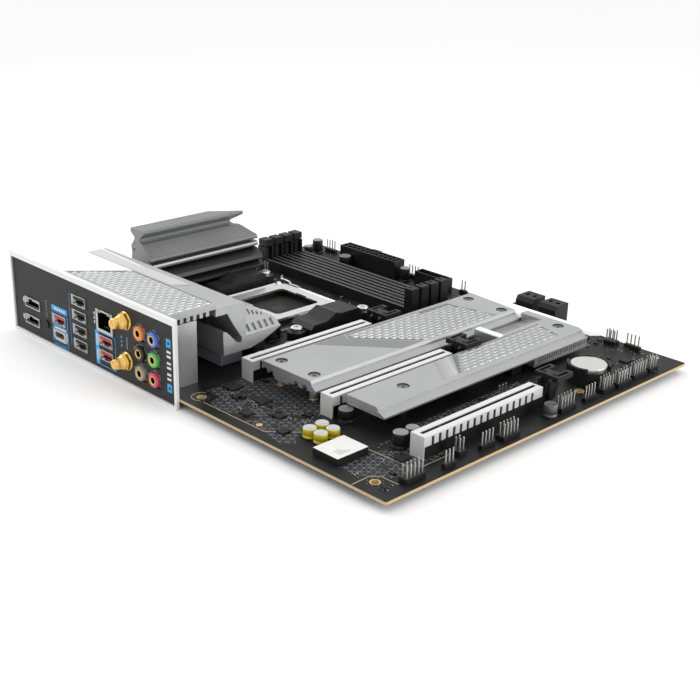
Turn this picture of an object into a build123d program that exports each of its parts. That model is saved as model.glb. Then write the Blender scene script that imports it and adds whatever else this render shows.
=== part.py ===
from build123d import *

import os

# Full-size desktop computer motherboard, in millimetres.
#
# Board coordinates: x runs from the rear edge, where the ports are, to the front edge,
# y from the lower edge to the top edge beside the processor socket, and heights are
# measured up from the board's component face. The model's origin is the centre of the
# main rectangle of four stand-off holes, on the board's underside.

# ---------------------------------------------------------------- driving dimensions
BOARD_X = 243.84
BOARD_Y = 304.8
BOARD_T = 1.57
BOARD_CORNER_R = 1.0

# Stand-off holes of the full-size board, from the rear and lower edges.
HOLE_R = 1.98
HOLE_REAR_X = 10.16
HOLE_MID_X = 165.1
HOLE_FRONT_INSET = 6.35
HOLE_LOW_Y = 16.51
HOLE_MID_Y = 140.97
HOLE_TOP_INSET = 6.35
HOLE_TOP_REAR_X = 33.02

# Rear port plate and its light rim.
SHIELD_W = 158.75
SHIELD_BOTTOM = -5.9
SHIELD_TOP = 43.0
SHIELD_T = 0.9
SHIELD_TOP_OVERHANG = 0.4
SHIELD_INSET = 0.4
RIM_W = 1.7
RIM_TOP_W = 3.4
RIM_DEPTH = 1.1
PORT_GAP = 0.25
PORT_PROUD = 1.3
STACK_X0 = 0.3
STACK_WALL = 0.9

# Heatsink over the rear ports and the rear voltage regulators.
COVER_TOP = 41.4
COVER_SKIN = 3.6
COVER_FIN_H = 2.6
COVER_FIN_W = 2.2
COVER_FIN_PITCH = 4.2
COVER_X0 = 0.4
COVER_X1 = 33.0
COVER_FROM_PLATE = 11.05
COVER_TOP_INSET = 1.6
REAR_SINK_TOP = 38.4
REAR_SINK_BASE = 10.2
REAR_SINK_END_INSET = 20.0

# Heatsink along the top edge.
TOP_SINK_X0 = 75.0
TOP_SINK_H = 45.0
TOP_SINK_LEN = 90.0
TOP_SINK_BASE = 9.6
TOP_SINK_GROOVES = 8
TOP_SINK_GROOVE_W = 0.3

# Processor socket.
SOCKET_X = 128.0
SOCKET_FROM_TOP = 90.8
SOCKET_BODY = 44.0
SOCKET_BODY_H = 4.0
SOCKET_POCKET = 38.0
SOCKET_FLOOR = 1.2
LOAD_PLATE_Z = 4.6
LOAD_PLATE_T = 1.4
LOAD_PLATE_W = 50.0
LOAD_PLATE_NEAR = 24.0
WINDOW_X = 34.5
WINDOW_Y = 35.0
HINGE_FROM_SOCKET = 26.5
HINGE_Z = 5.3
HINGE_PIN_R = 0.85
HINGE_GAP = 0.05
LEVER_FROM_SOCKET = 27.5
LEVER_Z = 3.2
LEVER_R = 0.9
LEVER_SIDE = 30.3
COOLER_SPAN_X = 54.0
COOLER_SPAN_Y = 90.0
COOLER_HOLE_R = 2.3
COOLER_BOSS_R = 2.1
COOLER_SCREW_R = 1.45
COOLER_BORE_R = 1.5
BACKPLATE_T = 2.2

# Memory slots.
DIMM_COUNT = 4
DIMM_PITCH = 8.85
DIMM_W = 6.6
DIMM_H = 7.2
DIMM_TOWER_H = 19.6
DIMM_CHEEK_H = 15.0
DIMM_GROOVE = 1.5
DIMM_FROM_FRONT = 68.3
DIMM_FROM_TOP = 156.8
DIMM_LEN = 145.5
DIMM_LATCH_GAP = 0.2
DIMM_CHEEK_T = 1.4

# Expansion slots.
PCIE_X0 = 42.5
PCIE_LEN = 89.0
PCIE_W = 7.3
PCIE_H = 11.2
PCIE_GROOVE = 1.8
PCIE_FIRST_Y = 20.6
PCIE_PITCH = 60.96
PCIE_KEY_X = 14.5
ARMOUR_T = 0.6
ARMOUR_GAP = 0.1
ARMOUR_WINDOW_PITCH = 5.0
ARMOUR_WINDOW_W = 1.9
ARMOUR_WINDOW_TOP = 10.9
ARMOUR_FLANGE_Z = 6.6
LATCH_PIN_R = 1.0
LATCH_GAP = 0.2
WING_HALF = 7.4

# Storage and chipset heatsinks.
SINK_TOP = 14.0
SINK_BASE = 8.0
LOWER_SINK_TOP = 13.0
SINK_X1 = 215.4
UPPER_SINK_X0 = 44.0
LOWER_SINK_X0 = 48.0
SINK_SCREW_R = 1.4
SINK_POST_R = 2.3
SINK_FOOT_R = 1.95
SINK_FOOT_H = 2.0
SCREW_FIT = 0.05
LIGHT_BAR_W = 4.6

# Battery.
CELL_R = 10.0
CELL_T = 3.2
CELL_X = 181.6
CELL_CLEAR = 1.19
HOLDER_WALL = 2.0
CELL_Z = 6.4
CELL_GAP = 0.35

# Pin headers.
PIN_PITCH = 2.54
PIN_SIDE = 0.64
PIN_TOP = 9.0
HEADER_H = 2.5
LOW_ROW = 6.0

# ---------------------------------------------------------------- places that follow
HOLE_FRONT_X = BOARD_X - HOLE_FRONT_INSET
HOLE_TOP_Y = BOARD_Y - HOLE_TOP_INSET
DATUM_X = (HOLE_REAR_X + HOLE_FRONT_X) / 2
DATUM_Y = (HOLE_LOW_Y + HOLE_MID_Y) / 2
SHIELD_Y1 = BOARD_Y + SHIELD_TOP_OVERHANG
SHIELD_Y0 = SHIELD_Y1 - SHIELD_W
SOCKET_Y = BOARD_Y - SOCKET_FROM_TOP
HINGE_Y = SOCKET_Y + HINGE_FROM_SOCKET
LEVER_Y = SOCKET_Y - LEVER_FROM_SOCKET
LEVER_X = SOCKET_X + LEVER_SIDE
DIMM_X0 = BOARD_X - DIMM_FROM_FRONT
DIMM_Y0 = BOARD_Y - DIMM_FROM_TOP
DIMM_Y1 = DIMM_Y0 + DIMM_LEN
COVER_Y1 = BOARD_Y - COVER_TOP_INSET
COVER_NEAR = SHIELD_Y0 + COVER_FROM_PLATE
REAR_SINK_Y1 = BOARD_Y - REAR_SINK_END_INSET
HOLDER_R = CELL_R + HOLDER_WALL
CELL_Y = LOW_ROW + 1.5 * PIN_PITCH + CELL_CLEAR + HOLDER_R

STANDOFF_HOLES = (
    (HOLE_REAR_X, HOLE_LOW_Y), (HOLE_REAR_X, HOLE_MID_Y),
    (HOLE_MID_X, HOLE_LOW_Y), (HOLE_MID_X, HOLE_MID_Y), (HOLE_MID_X, HOLE_TOP_Y),
    (HOLE_FRONT_X, HOLE_LOW_Y), (HOLE_FRONT_X, HOLE_MID_Y), (HOLE_FRONT_X, HOLE_TOP_Y),
    (HOLE_TOP_REAR_X, HOLE_TOP_Y),
)
COOLER_SCREWS = tuple(
    (SOCKET_X + side * COOLER_SPAN_X / 2, SOCKET_Y + end * COOLER_SPAN_Y / 2)
    for side in (-1, 1) for end in (-1, 1)
)

BASE = (Align.CENTER, Align.CENTER, Align.MIN)
os.makedirs("parts", exist_ok=True)


# ---------------------------------------------------------------- helpers
def spot(x, y, height=0.0):
    """A model point from board coordinates."""
    return (x - DATUM_X, y - DATUM_Y, height + BOARD_T)


def level(height):
    """A sketch plane parallel to the board whose local axes are board coordinates."""
    return Plane(spot(0, 0, height))


def section_x(x):
    """A section plane across the board: local x is the board's y, local y is height."""
    return Plane(spot(x, 0), x_dir=(0, 1, 0), z_dir=(1, 0, 0))


def section_y(y):
    """A section plane along the board: local x is the board's x, local y is height."""
    return Plane(spot(0, y), x_dir=(1, 0, 0), z_dir=(0, -1, 0))


def block(x0, x1, y0, y1, z0, z1, mode=Mode.ADD):
    """Add or cut a box between two corners in the open part."""
    with Locations(spot((x0 + x1) / 2, (y0 + y1) / 2, (z0 + z1) / 2)):
        Box(x1 - x0, y1 - y0, z1 - z0, mode=mode)


def boxes(points, size, z0, mode=Mode.ADD):
    """Add or cut equal boxes standing at several places in the open part."""
    with Locations(*[spot(x, y, z0) for x, y in points]):
        Box(*size, align=BASE, mode=mode)


def rods(points, radius, z0, z1, mode=Mode.ADD):
    """Add or cut equal upright cylinders at several places in the open part."""
    with Locations(*[spot(x, y, z0) for x, y in points]):
        Cylinder(radius, z1 - z0, align=BASE, mode=mode)


def rod_x(x0, x1, y, z, radius, mode=Mode.ADD):
    """Add or cut a cylinder lying along the board's x."""
    with Locations(Location(spot(x0, y, z), (0, 90, 0))):
        Cylinder(radius, x1 - x0, align=BASE, mode=mode)


def rod_y(y0, y1, x, z, radius, mode=Mode.ADD):
    """Add or cut a cylinder lying along the board's y."""
    with Locations(Location(spot(x, y1, z), (90, 0, 0))):
        Cylinder(radius, y1 - y0, align=BASE, mode=mode)


def prism(plane, outline, length, mode=Mode.ADD):
    """Extrude a closed outline from a section plane in the open part."""
    with BuildSketch(plane) as outline_sketch:
        with BuildLine():
            Polyline(*outline, close=True)
        make_face()
    extrude(outline_sketch.sketch, amount=length, mode=mode)


def save(builder, name):
    """Label a finished piece and write it to its own file."""
    builder.part.label = name
    export_step(builder.part, f"parts/{name}.step")


# ---------------------------------------------------------------- circuit board
with BuildPart() as pcb:
    with BuildSketch(level(-BOARD_T)):
        with Locations((BOARD_X / 2, BOARD_Y / 2)):
            RectangleRounded(BOARD_X, BOARD_Y, BOARD_CORNER_R)
        with Locations(*STANDOFF_HOLES):
            Circle(HOLE_R, mode=Mode.SUBTRACT)
        with Locations(*COOLER_SCREWS):
            Circle(COOLER_HOLE_R, mode=Mode.SUBTRACT)
    extrude(amount=BOARD_T)
save(pcb, "pcb")

# ---------------------------------------------------------------- rear ports
# Each port: distance of its middle from the top edge, height of its middle, width, height.
HDMI_PORT = (20.0, 4.3, 15.0, 5.6)
DISPLAY_PORT = (21.0, 14.9, 16.1, 6.0)
RED_USB_PORT = (49.0, 12.6, 13.2, 5.8)
USB_C_PORT = (49.0, 3.4, 12.0, 5.4)
BLACK_USB_PORTS = tuple((70.4, 3.7 + 8.6 * row, 13.2, 5.8) for row in range(4))
LAN_PORT = (95.2, 24.2, 15.2, 12.4)
LOWER_RED_PORTS = tuple((95.2, height, 13.2, 5.8) for height in (4.6, 13.0))
BUTTON_PORT = (35.4, 6.4)
BUTTON_R = 2.1
BUTTON_TRAVEL = 0.8
ANTENNA_PORTS = ((114.4, 30.6), (114.4, 7.7))
ANTENNA_THREAD_R = 3.175
ANTENNA_LEN = 8.8
WIFI_X0 = 0.6
JACK_COLUMNS = (127.2, 139.3)
JACK_ROWS = (4.8, 16.0, 27.2)
JACK_R = 4.1
JACK_BORE_R = 1.8
AUDIO_BLOCK = (120.6, 147.3)
AUDIO_DEPTH = 20.5
AUDIO_TOP = 34.8

PORT_FACE = -SHIELD_T - PORT_PROUD + 0.5
USB_OPENING = (12.4, 5.1)
PORT_INSIDE = 9.5


def port_span(port, extra=0.0):
    """The y and height limits of a port's shell, widened all round by extra."""
    middle, height, width, tall = port
    y = BOARD_Y - middle
    return (y - width / 2 - extra, y + width / 2 + extra,
            height - tall / 2 - extra, height + tall / 2 + extra)


def stack_body(port, depth, top):
    """Add the metal box behind a column of ports, a little wider than its widest port."""
    y0, y1, _, _ = port_span(port, STACK_WALL)
    block(STACK_X0, depth, y0, y1, 0, top)


def shell_nose(port):
    """Add a port's metal nose, which reaches from the stack through the plate."""
    block(PORT_FACE, 0.8, *port_span(port))


def port_hollow(port, wall_y, wall_z, depth):
    """Cut a port's plug opening inside its nose."""
    y0, y1, z0, z1 = port_span(port)
    block(PORT_FACE - 1, depth, y0 + wall_y, y1 - wall_y, z0 + wall_z, z1 - wall_z, Mode.SUBTRACT)


SHELL_PORTS = (HDMI_PORT, DISPLAY_PORT, RED_USB_PORT, USB_C_PORT, LAN_PORT) + BLACK_USB_PORTS
SHELL_PORTS = SHELL_PORTS + LOWER_RED_PORTS

with BuildPart() as io_shield:
    block(-SHIELD_T, 0, SHIELD_Y0 + SHIELD_INSET, SHIELD_Y1 - SHIELD_INSET,
          SHIELD_BOTTOM + SHIELD_INSET, SHIELD_TOP - SHIELD_INSET)
    for port in SHELL_PORTS:
        y0, y1, z0, z1 = port_span(port, PORT_GAP)
        block(-SHIELD_T - 1, 1, y0, y1, z0, z1, Mode.SUBTRACT)
    for column in JACK_COLUMNS:
        for row in JACK_ROWS:
            y0, y1, z0, z1 = port_span((column, row, 2 * JACK_R, 2 * JACK_R), PORT_GAP)
            block(-SHIELD_T - 1, 1, y0, y1, z0, z1, Mode.SUBTRACT)
    rod_x(-SHIELD_T - 1, 1, BOARD_Y - BUTTON_PORT[0], BUTTON_PORT[1],
          BUTTON_R + PORT_GAP, Mode.SUBTRACT)
    for middle, height in ANTENNA_PORTS:
        y0, y1, z0, z1 = port_span((middle, height, 7.0, 7.0), PORT_GAP)
        block(-SHIELD_T - 1, 1, y0, y1, z0, z1, Mode.SUBTRACT)
save(io_shield, "io_shield")

with BuildPart() as io_shield_rim:
    front = -SHIELD_T - RIM_DEPTH
    block(front, 0, SHIELD_Y0, SHIELD_Y1, SHIELD_BOTTOM, SHIELD_TOP)
    block(-SHIELD_T, 1, SHIELD_Y0 + SHIELD_INSET, SHIELD_Y1 - SHIELD_INSET,
          SHIELD_BOTTOM + SHIELD_INSET, SHIELD_TOP - SHIELD_INSET, Mode.SUBTRACT)
    block(front - 1, 1, SHIELD_Y0 + RIM_W, SHIELD_Y1 - RIM_W,
          SHIELD_BOTTOM + RIM_W, SHIELD_TOP - RIM_TOP_W, Mode.SUBTRACT)
    chamfer(io_shield_rim.faces().sort_by(Axis.X)[0].outer_wire().edges(), 0.3)
save(io_shield_rim, "io_shield_rim")

with BuildPart() as display_ports:
    stack_body(DISPLAY_PORT, 19, 19.6)
    shell_nose(HDMI_PORT)
    shell_nose(DISPLAY_PORT)
    port_hollow(HDMI_PORT, 0.5, 0.5, PORT_INSIDE)
    port_hollow(DISPLAY_PORT, 0.5, 0.5, PORT_INSIDE)
    for port, tongue in ((HDMI_PORT, 10.6), (DISPLAY_PORT, 11.6)):
        y, z = BOARD_Y - port[0], port[1]
        block(1.5, PORT_INSIDE + 0.5, y - tongue / 2, y + tongue / 2, z - 0.7, z + 0.7)
save(display_ports, "display_ports")

with BuildPart() as usb_c_stack:
    stack_body(RED_USB_PORT, 18, 16.4)
    shell_nose(RED_USB_PORT)
    shell_nose(USB_C_PORT)
    port_hollow(RED_USB_PORT, 0.4, 0.4, PORT_INSIDE)
    with BuildSketch(section_x(PORT_FACE - 1)) as usb_c_mouth:
        with Locations((BOARD_Y - USB_C_PORT[0], USB_C_PORT[1])):
            SlotOverall(9.2, 3.3)
    extrude(usb_c_mouth.sketch, amount=PORT_INSIDE, mode=Mode.SUBTRACT)
    y, z = BOARD_Y - USB_C_PORT[0], USB_C_PORT[1]
    block(1.0, PORT_INSIDE + 0.5, y - 3.3, y + 3.3, z - 0.35, z + 0.35)
save(usb_c_stack, "usb_c_stack")

with BuildPart() as usb_stack:
    stack_body(BLACK_USB_PORTS[0], 20, 33.4)
    for port in BLACK_USB_PORTS:
        shell_nose(port)
        port_hollow(port, 0.4, 0.4, PORT_INSIDE)
save(usb_stack, "usb_stack")

with BuildPart() as lan_usb_stack:
    stack_body(LAN_PORT, 21, 32.6)
    for port in (LAN_PORT,) + LOWER_RED_PORTS:
        shell_nose(port)
    for port in LOWER_RED_PORTS:
        port_hollow(port, 0.4, 0.4, PORT_INSIDE)
    port_hollow(LAN_PORT, 1.7, 1.6, 14)
    y, z = BOARD_Y - LAN_PORT[0], LAN_PORT[1] + LAN_PORT[3] / 2
    block(PORT_FACE - 1, 14, y - 3.2, y + 3.2, z - 1.8, z - 0.8, Mode.SUBTRACT)
save(lan_usb_stack, "lan_usb_stack")

with BuildPart() as usb_tongues:
    for port in (RED_USB_PORT,) + LOWER_RED_PORTS + BLACK_USB_PORTS:
        y, z = BOARD_Y - port[0], port[1]
        block(0.2, PORT_INSIDE - 0.05, y - 5.6, y + 5.6, z + 0.15, z + 1.95)
save(usb_tongues, "usb_tongues")

with BuildPart() as wifi_module:
    block(WIFI_X0, 23, BOARD_Y - 120.0, BOARD_Y - 104.4, 0, 33.6)
save(wifi_module, "wifi_module")

with BuildPart() as antenna_connectors:
    for middle, height in ANTENNA_PORTS:
        y = BOARD_Y - middle
        rod_x(-SHIELD_T - ANTENNA_LEN, -SHIELD_T, y, height, ANTENNA_THREAD_R)
        rod_x(-SHIELD_T, WIFI_X0, y, height, 3.1)
        with BuildSketch(section_x(-SHIELD_T - 2.6)) as nut:
            with Locations((y, height)):
                RegularPolygon(4.6, 6)
        extrude(nut.sketch, amount=2.1)
        rod_x(-SHIELD_T - 0.5, -SHIELD_T, y, height, 5.2)
        rod_x(-SHIELD_T - ANTENNA_LEN - 1, -SHIELD_T - ANTENNA_LEN + 4, y, height, 2.2,
              Mode.SUBTRACT)
        rod_x(-SHIELD_T - ANTENNA_LEN + 0.6, -SHIELD_T - ANTENNA_LEN + 4.2, y, height, 0.5)
save(antenna_connectors, "antenna_connectors")

with BuildPart() as audio_jack_block:
    block(STACK_X0, AUDIO_DEPTH, BOARD_Y - AUDIO_BLOCK[1], BOARD_Y - AUDIO_BLOCK[0], 0, AUDIO_TOP)
    for column in JACK_COLUMNS:
        for row in JACK_ROWS:
            y = BOARD_Y - column
            half = JACK_BORE_R + 0.7
            block(0, 16, y - half, y + half, row - half, row + half, Mode.SUBTRACT)
save(audio_jack_block, "audio_jack_block")

with BuildPart() as audio_jack_rings:
    for column in JACK_COLUMNS:
        for row in JACK_ROWS:
            y = BOARD_Y - column
            rod_x(-SHIELD_T - 2.0, STACK_X0, y, row, JACK_R)
            rod_x(-SHIELD_T - 3.0, 1, y, row, JACK_BORE_R, Mode.SUBTRACT)
    outer = audio_jack_rings.edges().filter_by(GeomType.CIRCLE).group_by(Axis.X)[0]
    fillet([edge for edge in outer if edge.radius > JACK_BORE_R + 1], 0.5)
save(audio_jack_rings, "audio_jack_rings")

with BuildPart() as flash_button:
    y, z = BOARD_Y - BUTTON_PORT[0], BUTTON_PORT[1]
    rod_x(-SHIELD_T - 0.9, 2.4, y, z, BUTTON_R)
    rod_x(2.4, 3.2, y, z, BUTTON_R + 0.7)
save(flash_button, "flash_button")

with BuildPart() as button_switch:
    y, z = BOARD_Y - BUTTON_PORT[0], BUTTON_PORT[1]
    block(3.2 + BUTTON_TRAVEL + 0.1, 9.5, y - 3.2, y + 3.2, 0, z + 3.4)
save(button_switch, "button_switch")

# ---------------------------------------------------------------- rear heatsinks
with BuildPart() as io_cover:
    block(COVER_X0, COVER_X1, COVER_NEAR, COVER_Y1, COVER_TOP - COVER_SKIN, COVER_TOP)
    chamfer(io_cover.edges().filter_by(Axis.Y).group_by(Axis.Z)[-1].sort_by(Axis.X)[-1], 1.2)
    fin_count = int((COVER_X1 - COVER_X0 - 1) // COVER_FIN_PITCH)
    for index in range(fin_count):
        x = COVER_X0 + 1.2 + index * COVER_FIN_PITCH
        block(x, x + COVER_FIN_W, COVER_NEAR, COVER_Y1,
              COVER_TOP - COVER_SKIN - COVER_FIN_H, COVER_TOP - COVER_SKIN)
save(io_cover, "io_cover")

REAR_SINK_OUTLINE = (
    (33.2, REAR_SINK_TOP), (51.5, REAR_SINK_TOP - 0.4), (58.0, 33.8), (68.0, 28.0),
    (76.0, 23.4), (78.0, 21.4), (78.0, 17.6), (66.0, 12.4), (57.0, REAR_SINK_BASE),
    (38.4, REAR_SINK_BASE), (38.0, 23.8), (40.4, 23.2), (47.4, 15.8), (50.4, 14.8),
    (51.0, 17.6), (44.4, 27.6), (41.0, 33.6), (33.2, 33.6),
)
BEVEL_X0 = 53.6
BEVEL_FOOT = 18.6
BEVEL_RUN = 17.0
BEVEL_RISE = 18.0


def bevel_slot(x, width, start, end, depth):
    """Cut one slot into the sloping near end, between two distances up the slope."""
    rise = BEVEL_RISE / BEVEL_RUN
    prism(section_x(x), (
        (COVER_NEAR + start, BEVEL_FOOT + start * rise + 2), (COVER_NEAR + end, 45),
        (COVER_NEAR + end, BEVEL_FOOT + end * rise - depth),
        (COVER_NEAR + start, BEVEL_FOOT + start * rise - depth)), width, Mode.SUBTRACT)


with BuildPart() as rear_vrm_heatsink:
    prism(section_y(REAR_SINK_Y1), REAR_SINK_OUTLINE, REAR_SINK_Y1 - COVER_NEAR)
    prism(section_x(BEVEL_X0), (
        (COVER_NEAR - 1, BEVEL_FOOT - 1), (COVER_NEAR - 1, REAR_SINK_TOP + 4),
        (COVER_NEAR + BEVEL_RUN + 4, REAR_SINK_TOP + 4),
        (COVER_NEAR + BEVEL_RUN, BEVEL_FOOT + BEVEL_RISE), (COVER_NEAR, BEVEL_FOOT)),
        30, Mode.SUBTRACT)
    for index in range(7):
        bevel_slot(BEVEL_X0 + 0.8 + 2.5 * index, 1.1, 9.0 - 0.5 * index, 12.6 - 0.9 * index, 1.6)
    for index in range(5):
        bevel_slot(BEVEL_X0 + 2.4 + 4.2 * index, 2.0, 0.8, 4.2, 1.8)
    for index in range(14):
        y = COVER_NEAR + 30 + index * 6.2
        prism(section_y(y + 2.2), ((66.0, 34.0), (84, 24.0), (84, 12.0), (72.0, 17.0)), 2.2,
              Mode.SUBTRACT)
    block(TOP_SINK_X0 - 0.6, 90, BOARD_Y - 43.4, BOARD_Y, 0, 50, Mode.SUBTRACT)
save(rear_vrm_heatsink, "rear_vrm_heatsink")

TOP_LIP = 2.6
with BuildPart() as top_vrm_heatsink:
    top = BOARD_Y
    outline = (
        (top - 25.6, TOP_SINK_H - TOP_LIP + 0.7), (top - 25.6, TOP_SINK_H - 0.7),
        (top - 24.9, TOP_SINK_H), (top - 12.4, TOP_SINK_H), (top - 11.8, TOP_SINK_H - 0.7),
        (top - 11.8, TOP_SINK_H - TOP_LIP), (top - 15.6, 39.6), (top - 15.6, 38.4),
        (top - 11.9, 33.6), (top - 12.6, 29.4), (top - 11.9, 24.0), (top - 11.9, TOP_SINK_BASE),
        (top - 40.0, TOP_SINK_BASE), (top - 42.6, 11.2), (top - 42.6, 12.4), (top - 36.5, 14.6),
        (top - 36.5, 15.8), (top - 40.6, 16.2), (top - 39.6, 18.4), (top - 31.0, 21.6),
        (top - 31.0, 22.8), (top - 34.4, 23.0), (top - 33.6, 25.2), (top - 29.5, 26.4),
        (top - 29.5, 27.4), (top - 33.6, 27.4), (top - 33.8, 28.4), (top - 32.8, 29.2),
        (top - 23.4, 36.4), (top - 22.0, 36.6), (top - 20.6, 37.8), (top - 20.6, 39.0),
        (top - 24.9, TOP_SINK_H - TOP_LIP),
    )
    prism(section_x(TOP_SINK_X0), outline, TOP_SINK_LEN)
    with BuildSketch(level(0)) as end_trim:
        with BuildLine():
            Polyline((TOP_SINK_X0 + 57.0, top - 8), (TOP_SINK_X0 + 60.6, top - 12.8),
                     (TOP_SINK_X0 + 78.0, top - 24.8), (TOP_SINK_X0 + 84.5, top - 32),
                     (TOP_SINK_X0 + 82.0, top - 45), (TOP_SINK_X0 + 95.0, top - 45),
                     (TOP_SINK_X0 + 95.0, top - 8), close=True)
        make_face()
    extrude(end_trim.sketch, amount=TOP_SINK_H + 1, mode=Mode.SUBTRACT)
    rod_x(TOP_SINK_X0 - 1, TOP_SINK_X0 + 4, top - 15.0, 31.5, 0.7, Mode.SUBTRACT)
    groove_pitch = 8.4 / TOP_SINK_GROOVES
    for index in range(TOP_SINK_GROOVES):
        y = top - 32.2 + groove_pitch * index
        face = 29.2 + (y - top + 32.8) * 7.2 / 9.4
        block(TOP_SINK_X0, TOP_SINK_X0 + TOP_SINK_LEN, y, y + TOP_SINK_GROOVE_W,
              face - 0.5, face + 0.8, Mode.SUBTRACT)
save(top_vrm_heatsink, "top_vrm_heatsink")

CHOKE = 7.6
CHOKE_H = 7.4
REAR_CHOKES = tuple((71.5, BOARD_Y - 134.0 + 9.4 * index) for index in range(10))
TOP_CHOKES = tuple((86.0 + 9.4 * index, BOARD_Y - 36.0) for index in range(7))
with BuildPart() as chokes:
    boxes(REAR_CHOKES + TOP_CHOKES, (CHOKE, CHOKE, CHOKE_H), 0)
    fillet(chokes.edges().filter_by(Axis.Z), 0.8)
save(chokes, "chokes")

with BuildPart() as thermal_pads:
    block(42, 56.8, BOARD_Y - 140.0, BOARD_Y - 44.0, 1.0, REAR_SINK_BASE)
    block(80, 146, BOARD_Y - 25.5, BOARD_Y - 18.5, 1.0, TOP_SINK_BASE)
save(thermal_pads, "thermal_pads")

EPS_PLUGS = (37.0, 56.0)
EPS_LEN = 18.4
with BuildPart() as cpu_power_sockets:
    for x in EPS_PLUGS:
        block(x, x + EPS_LEN, BOARD_Y - 10.6, BOARD_Y - 1.2, 0, 12.8)
        block(x + 6.0, x + 12.4, BOARD_Y - 11.8, BOARD_Y - 10.6, 5.6, 12.8)
        for column in range(4):
            for row in range(2):
                left = x + 0.8 + 4.25 * column
                low = BOARD_Y - 10.1 + 4.3 * row
                block(left, left + 3.6, low, low + 3.7, 2.4, 13.8, Mode.SUBTRACT)
save(cpu_power_sockets, "cpu_power_sockets")

# ---------------------------------------------------------------- processor socket
with BuildPart() as socket_housing:
    half = SOCKET_BODY / 2
    block(SOCKET_X - half, SOCKET_X + half, SOCKET_Y - half, SOCKET_Y + half, 0, SOCKET_BODY_H)
    half = SOCKET_POCKET / 2
    block(SOCKET_X - half, SOCKET_X + half, SOCKET_Y - half, SOCKET_Y + half,
          SOCKET_FLOOR, SOCKET_BODY_H + 1, Mode.SUBTRACT)
save(socket_housing, "socket_housing")

FRAME_GAP = 0.2
FRAME_T = 0.9
EAR_T = 3.0
EAR_R = 1.7
KNUCKLE_HALF = 19.5
EAR_CENTRE = KNUCKLE_HALF + 1.0 + EAR_T / 2
LEVER_EARS = (SOCKET_X - 8.5, SOCKET_X + 23.5)
with BuildPart() as socket_frame:
    block(SOCKET_X - 28, SOCKET_X + 28, LEVER_Y - 2.2, HINGE_Y + 2.0, 0, FRAME_T)
    half = SOCKET_BODY / 2 + FRAME_GAP
    block(SOCKET_X - half, SOCKET_X + half, SOCKET_Y - half, SOCKET_Y + half,
          -1, FRAME_T + 1, Mode.SUBTRACT)
    for side in (-1, 1):
        x = SOCKET_X + side * EAR_CENTRE
        block(x - EAR_T / 2, x + EAR_T / 2, HINGE_Y - EAR_R, HINGE_Y + EAR_R, 0, HINGE_Z)
        rod_x(x - EAR_T / 2, x + EAR_T / 2, HINGE_Y, HINGE_Z, EAR_R)
        edge = SOCKET_X + side * (LOAD_PLATE_W / 2 - 1.2)
        block(edge - 0.9, edge + 0.9, SOCKET_Y - 18, SOCKET_Y + 18, 0, LOAD_PLATE_Z - 0.2)
    for x in LEVER_EARS:
        block(x - EAR_T / 2, x + EAR_T / 2, LEVER_Y - EAR_R, LEVER_Y + EAR_R, 0, LEVER_Z)
        rod_x(x - EAR_T / 2, x + EAR_T / 2, LEVER_Y, LEVER_Z, EAR_R)
    block(LEVER_X - LEVER_R - 1.8, LEVER_X - LEVER_R - 0.4,
          SOCKET_Y + 14, SOCKET_Y + 20, 0, LEVER_Z + 2.4)
    rod_x(SOCKET_X - 40, SOCKET_X + 40, HINGE_Y, HINGE_Z, HINGE_PIN_R + HINGE_GAP, Mode.SUBTRACT)
    rod_x(SOCKET_X - 40, SOCKET_X + 40, LEVER_Y, LEVER_Z, LEVER_R + HINGE_GAP, Mode.SUBTRACT)
save(socket_frame, "socket_frame")

with BuildPart() as load_plate:
    plate_end = HINGE_Y - 2.2
    plate_near = SOCKET_Y - LOAD_PLATE_NEAR
    with BuildSketch(level(LOAD_PLATE_Z)):
        with Locations((SOCKET_X, (plate_near + plate_end) / 2)):
            RectangleRounded(LOAD_PLATE_W, plate_end - plate_near, 3.0)
        with Locations((SOCKET_X, SOCKET_Y)):
            RectangleRounded(WINDOW_X, WINDOW_Y, 3.0, mode=Mode.SUBTRACT)
        for side in (-1, 1):
            with Locations((SOCKET_X + side * WINDOW_X / 2, SOCKET_Y)):
                Rectangle(2.4, 9.0, mode=Mode.SUBTRACT)
    extrude(amount=LOAD_PLATE_T)
    block(SOCKET_X - 6.5, SOCKET_X + 6.5, plate_near - 1.4, plate_near + 1,
          LOAD_PLATE_Z, LOAD_PLATE_Z + 0.9)
    block(SOCKET_X - KNUCKLE_HALF, SOCKET_X + KNUCKLE_HALF, plate_end - 1, HINGE_Y,
          LOAD_PLATE_Z, LOAD_PLATE_Z + LOAD_PLATE_T)
    rod_x(SOCKET_X - KNUCKLE_HALF, SOCKET_X + KNUCKLE_HALF, HINGE_Y, HINGE_Z, 1.3)
    pin_half = EAR_CENTRE + EAR_T / 2 + 0.6
    rod_x(SOCKET_X - pin_half, SOCKET_X + pin_half, HINGE_Y, HINGE_Z, HINGE_PIN_R)
save(load_plate, "load_plate")

LEVER_BAR_X0 = SOCKET_X - 12
LEVER_POINTS = (
    (LEVER_BAR_X0, LEVER_Y), (LEVER_X, LEVER_Y), (LEVER_X, SOCKET_Y + 22),
    (LEVER_X + 4.6, SOCKET_Y + 30), (LEVER_X + 4.6, SOCKET_Y + 37), (LEVER_X + 9.0, SOCKET_Y + 42),
)
with BuildPart() as socket_lever:
    with BuildLine() as lever_path:
        FilletPolyline(*[spot(x, y, LEVER_Z) for x, y in LEVER_POINTS], radius=1.8)
    with BuildSketch(Plane(origin=lever_path.line @ 0, z_dir=lever_path.line % 0)):
        Circle(LEVER_R)
    sweep()
save(socket_lever, "socket_lever")

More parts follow.
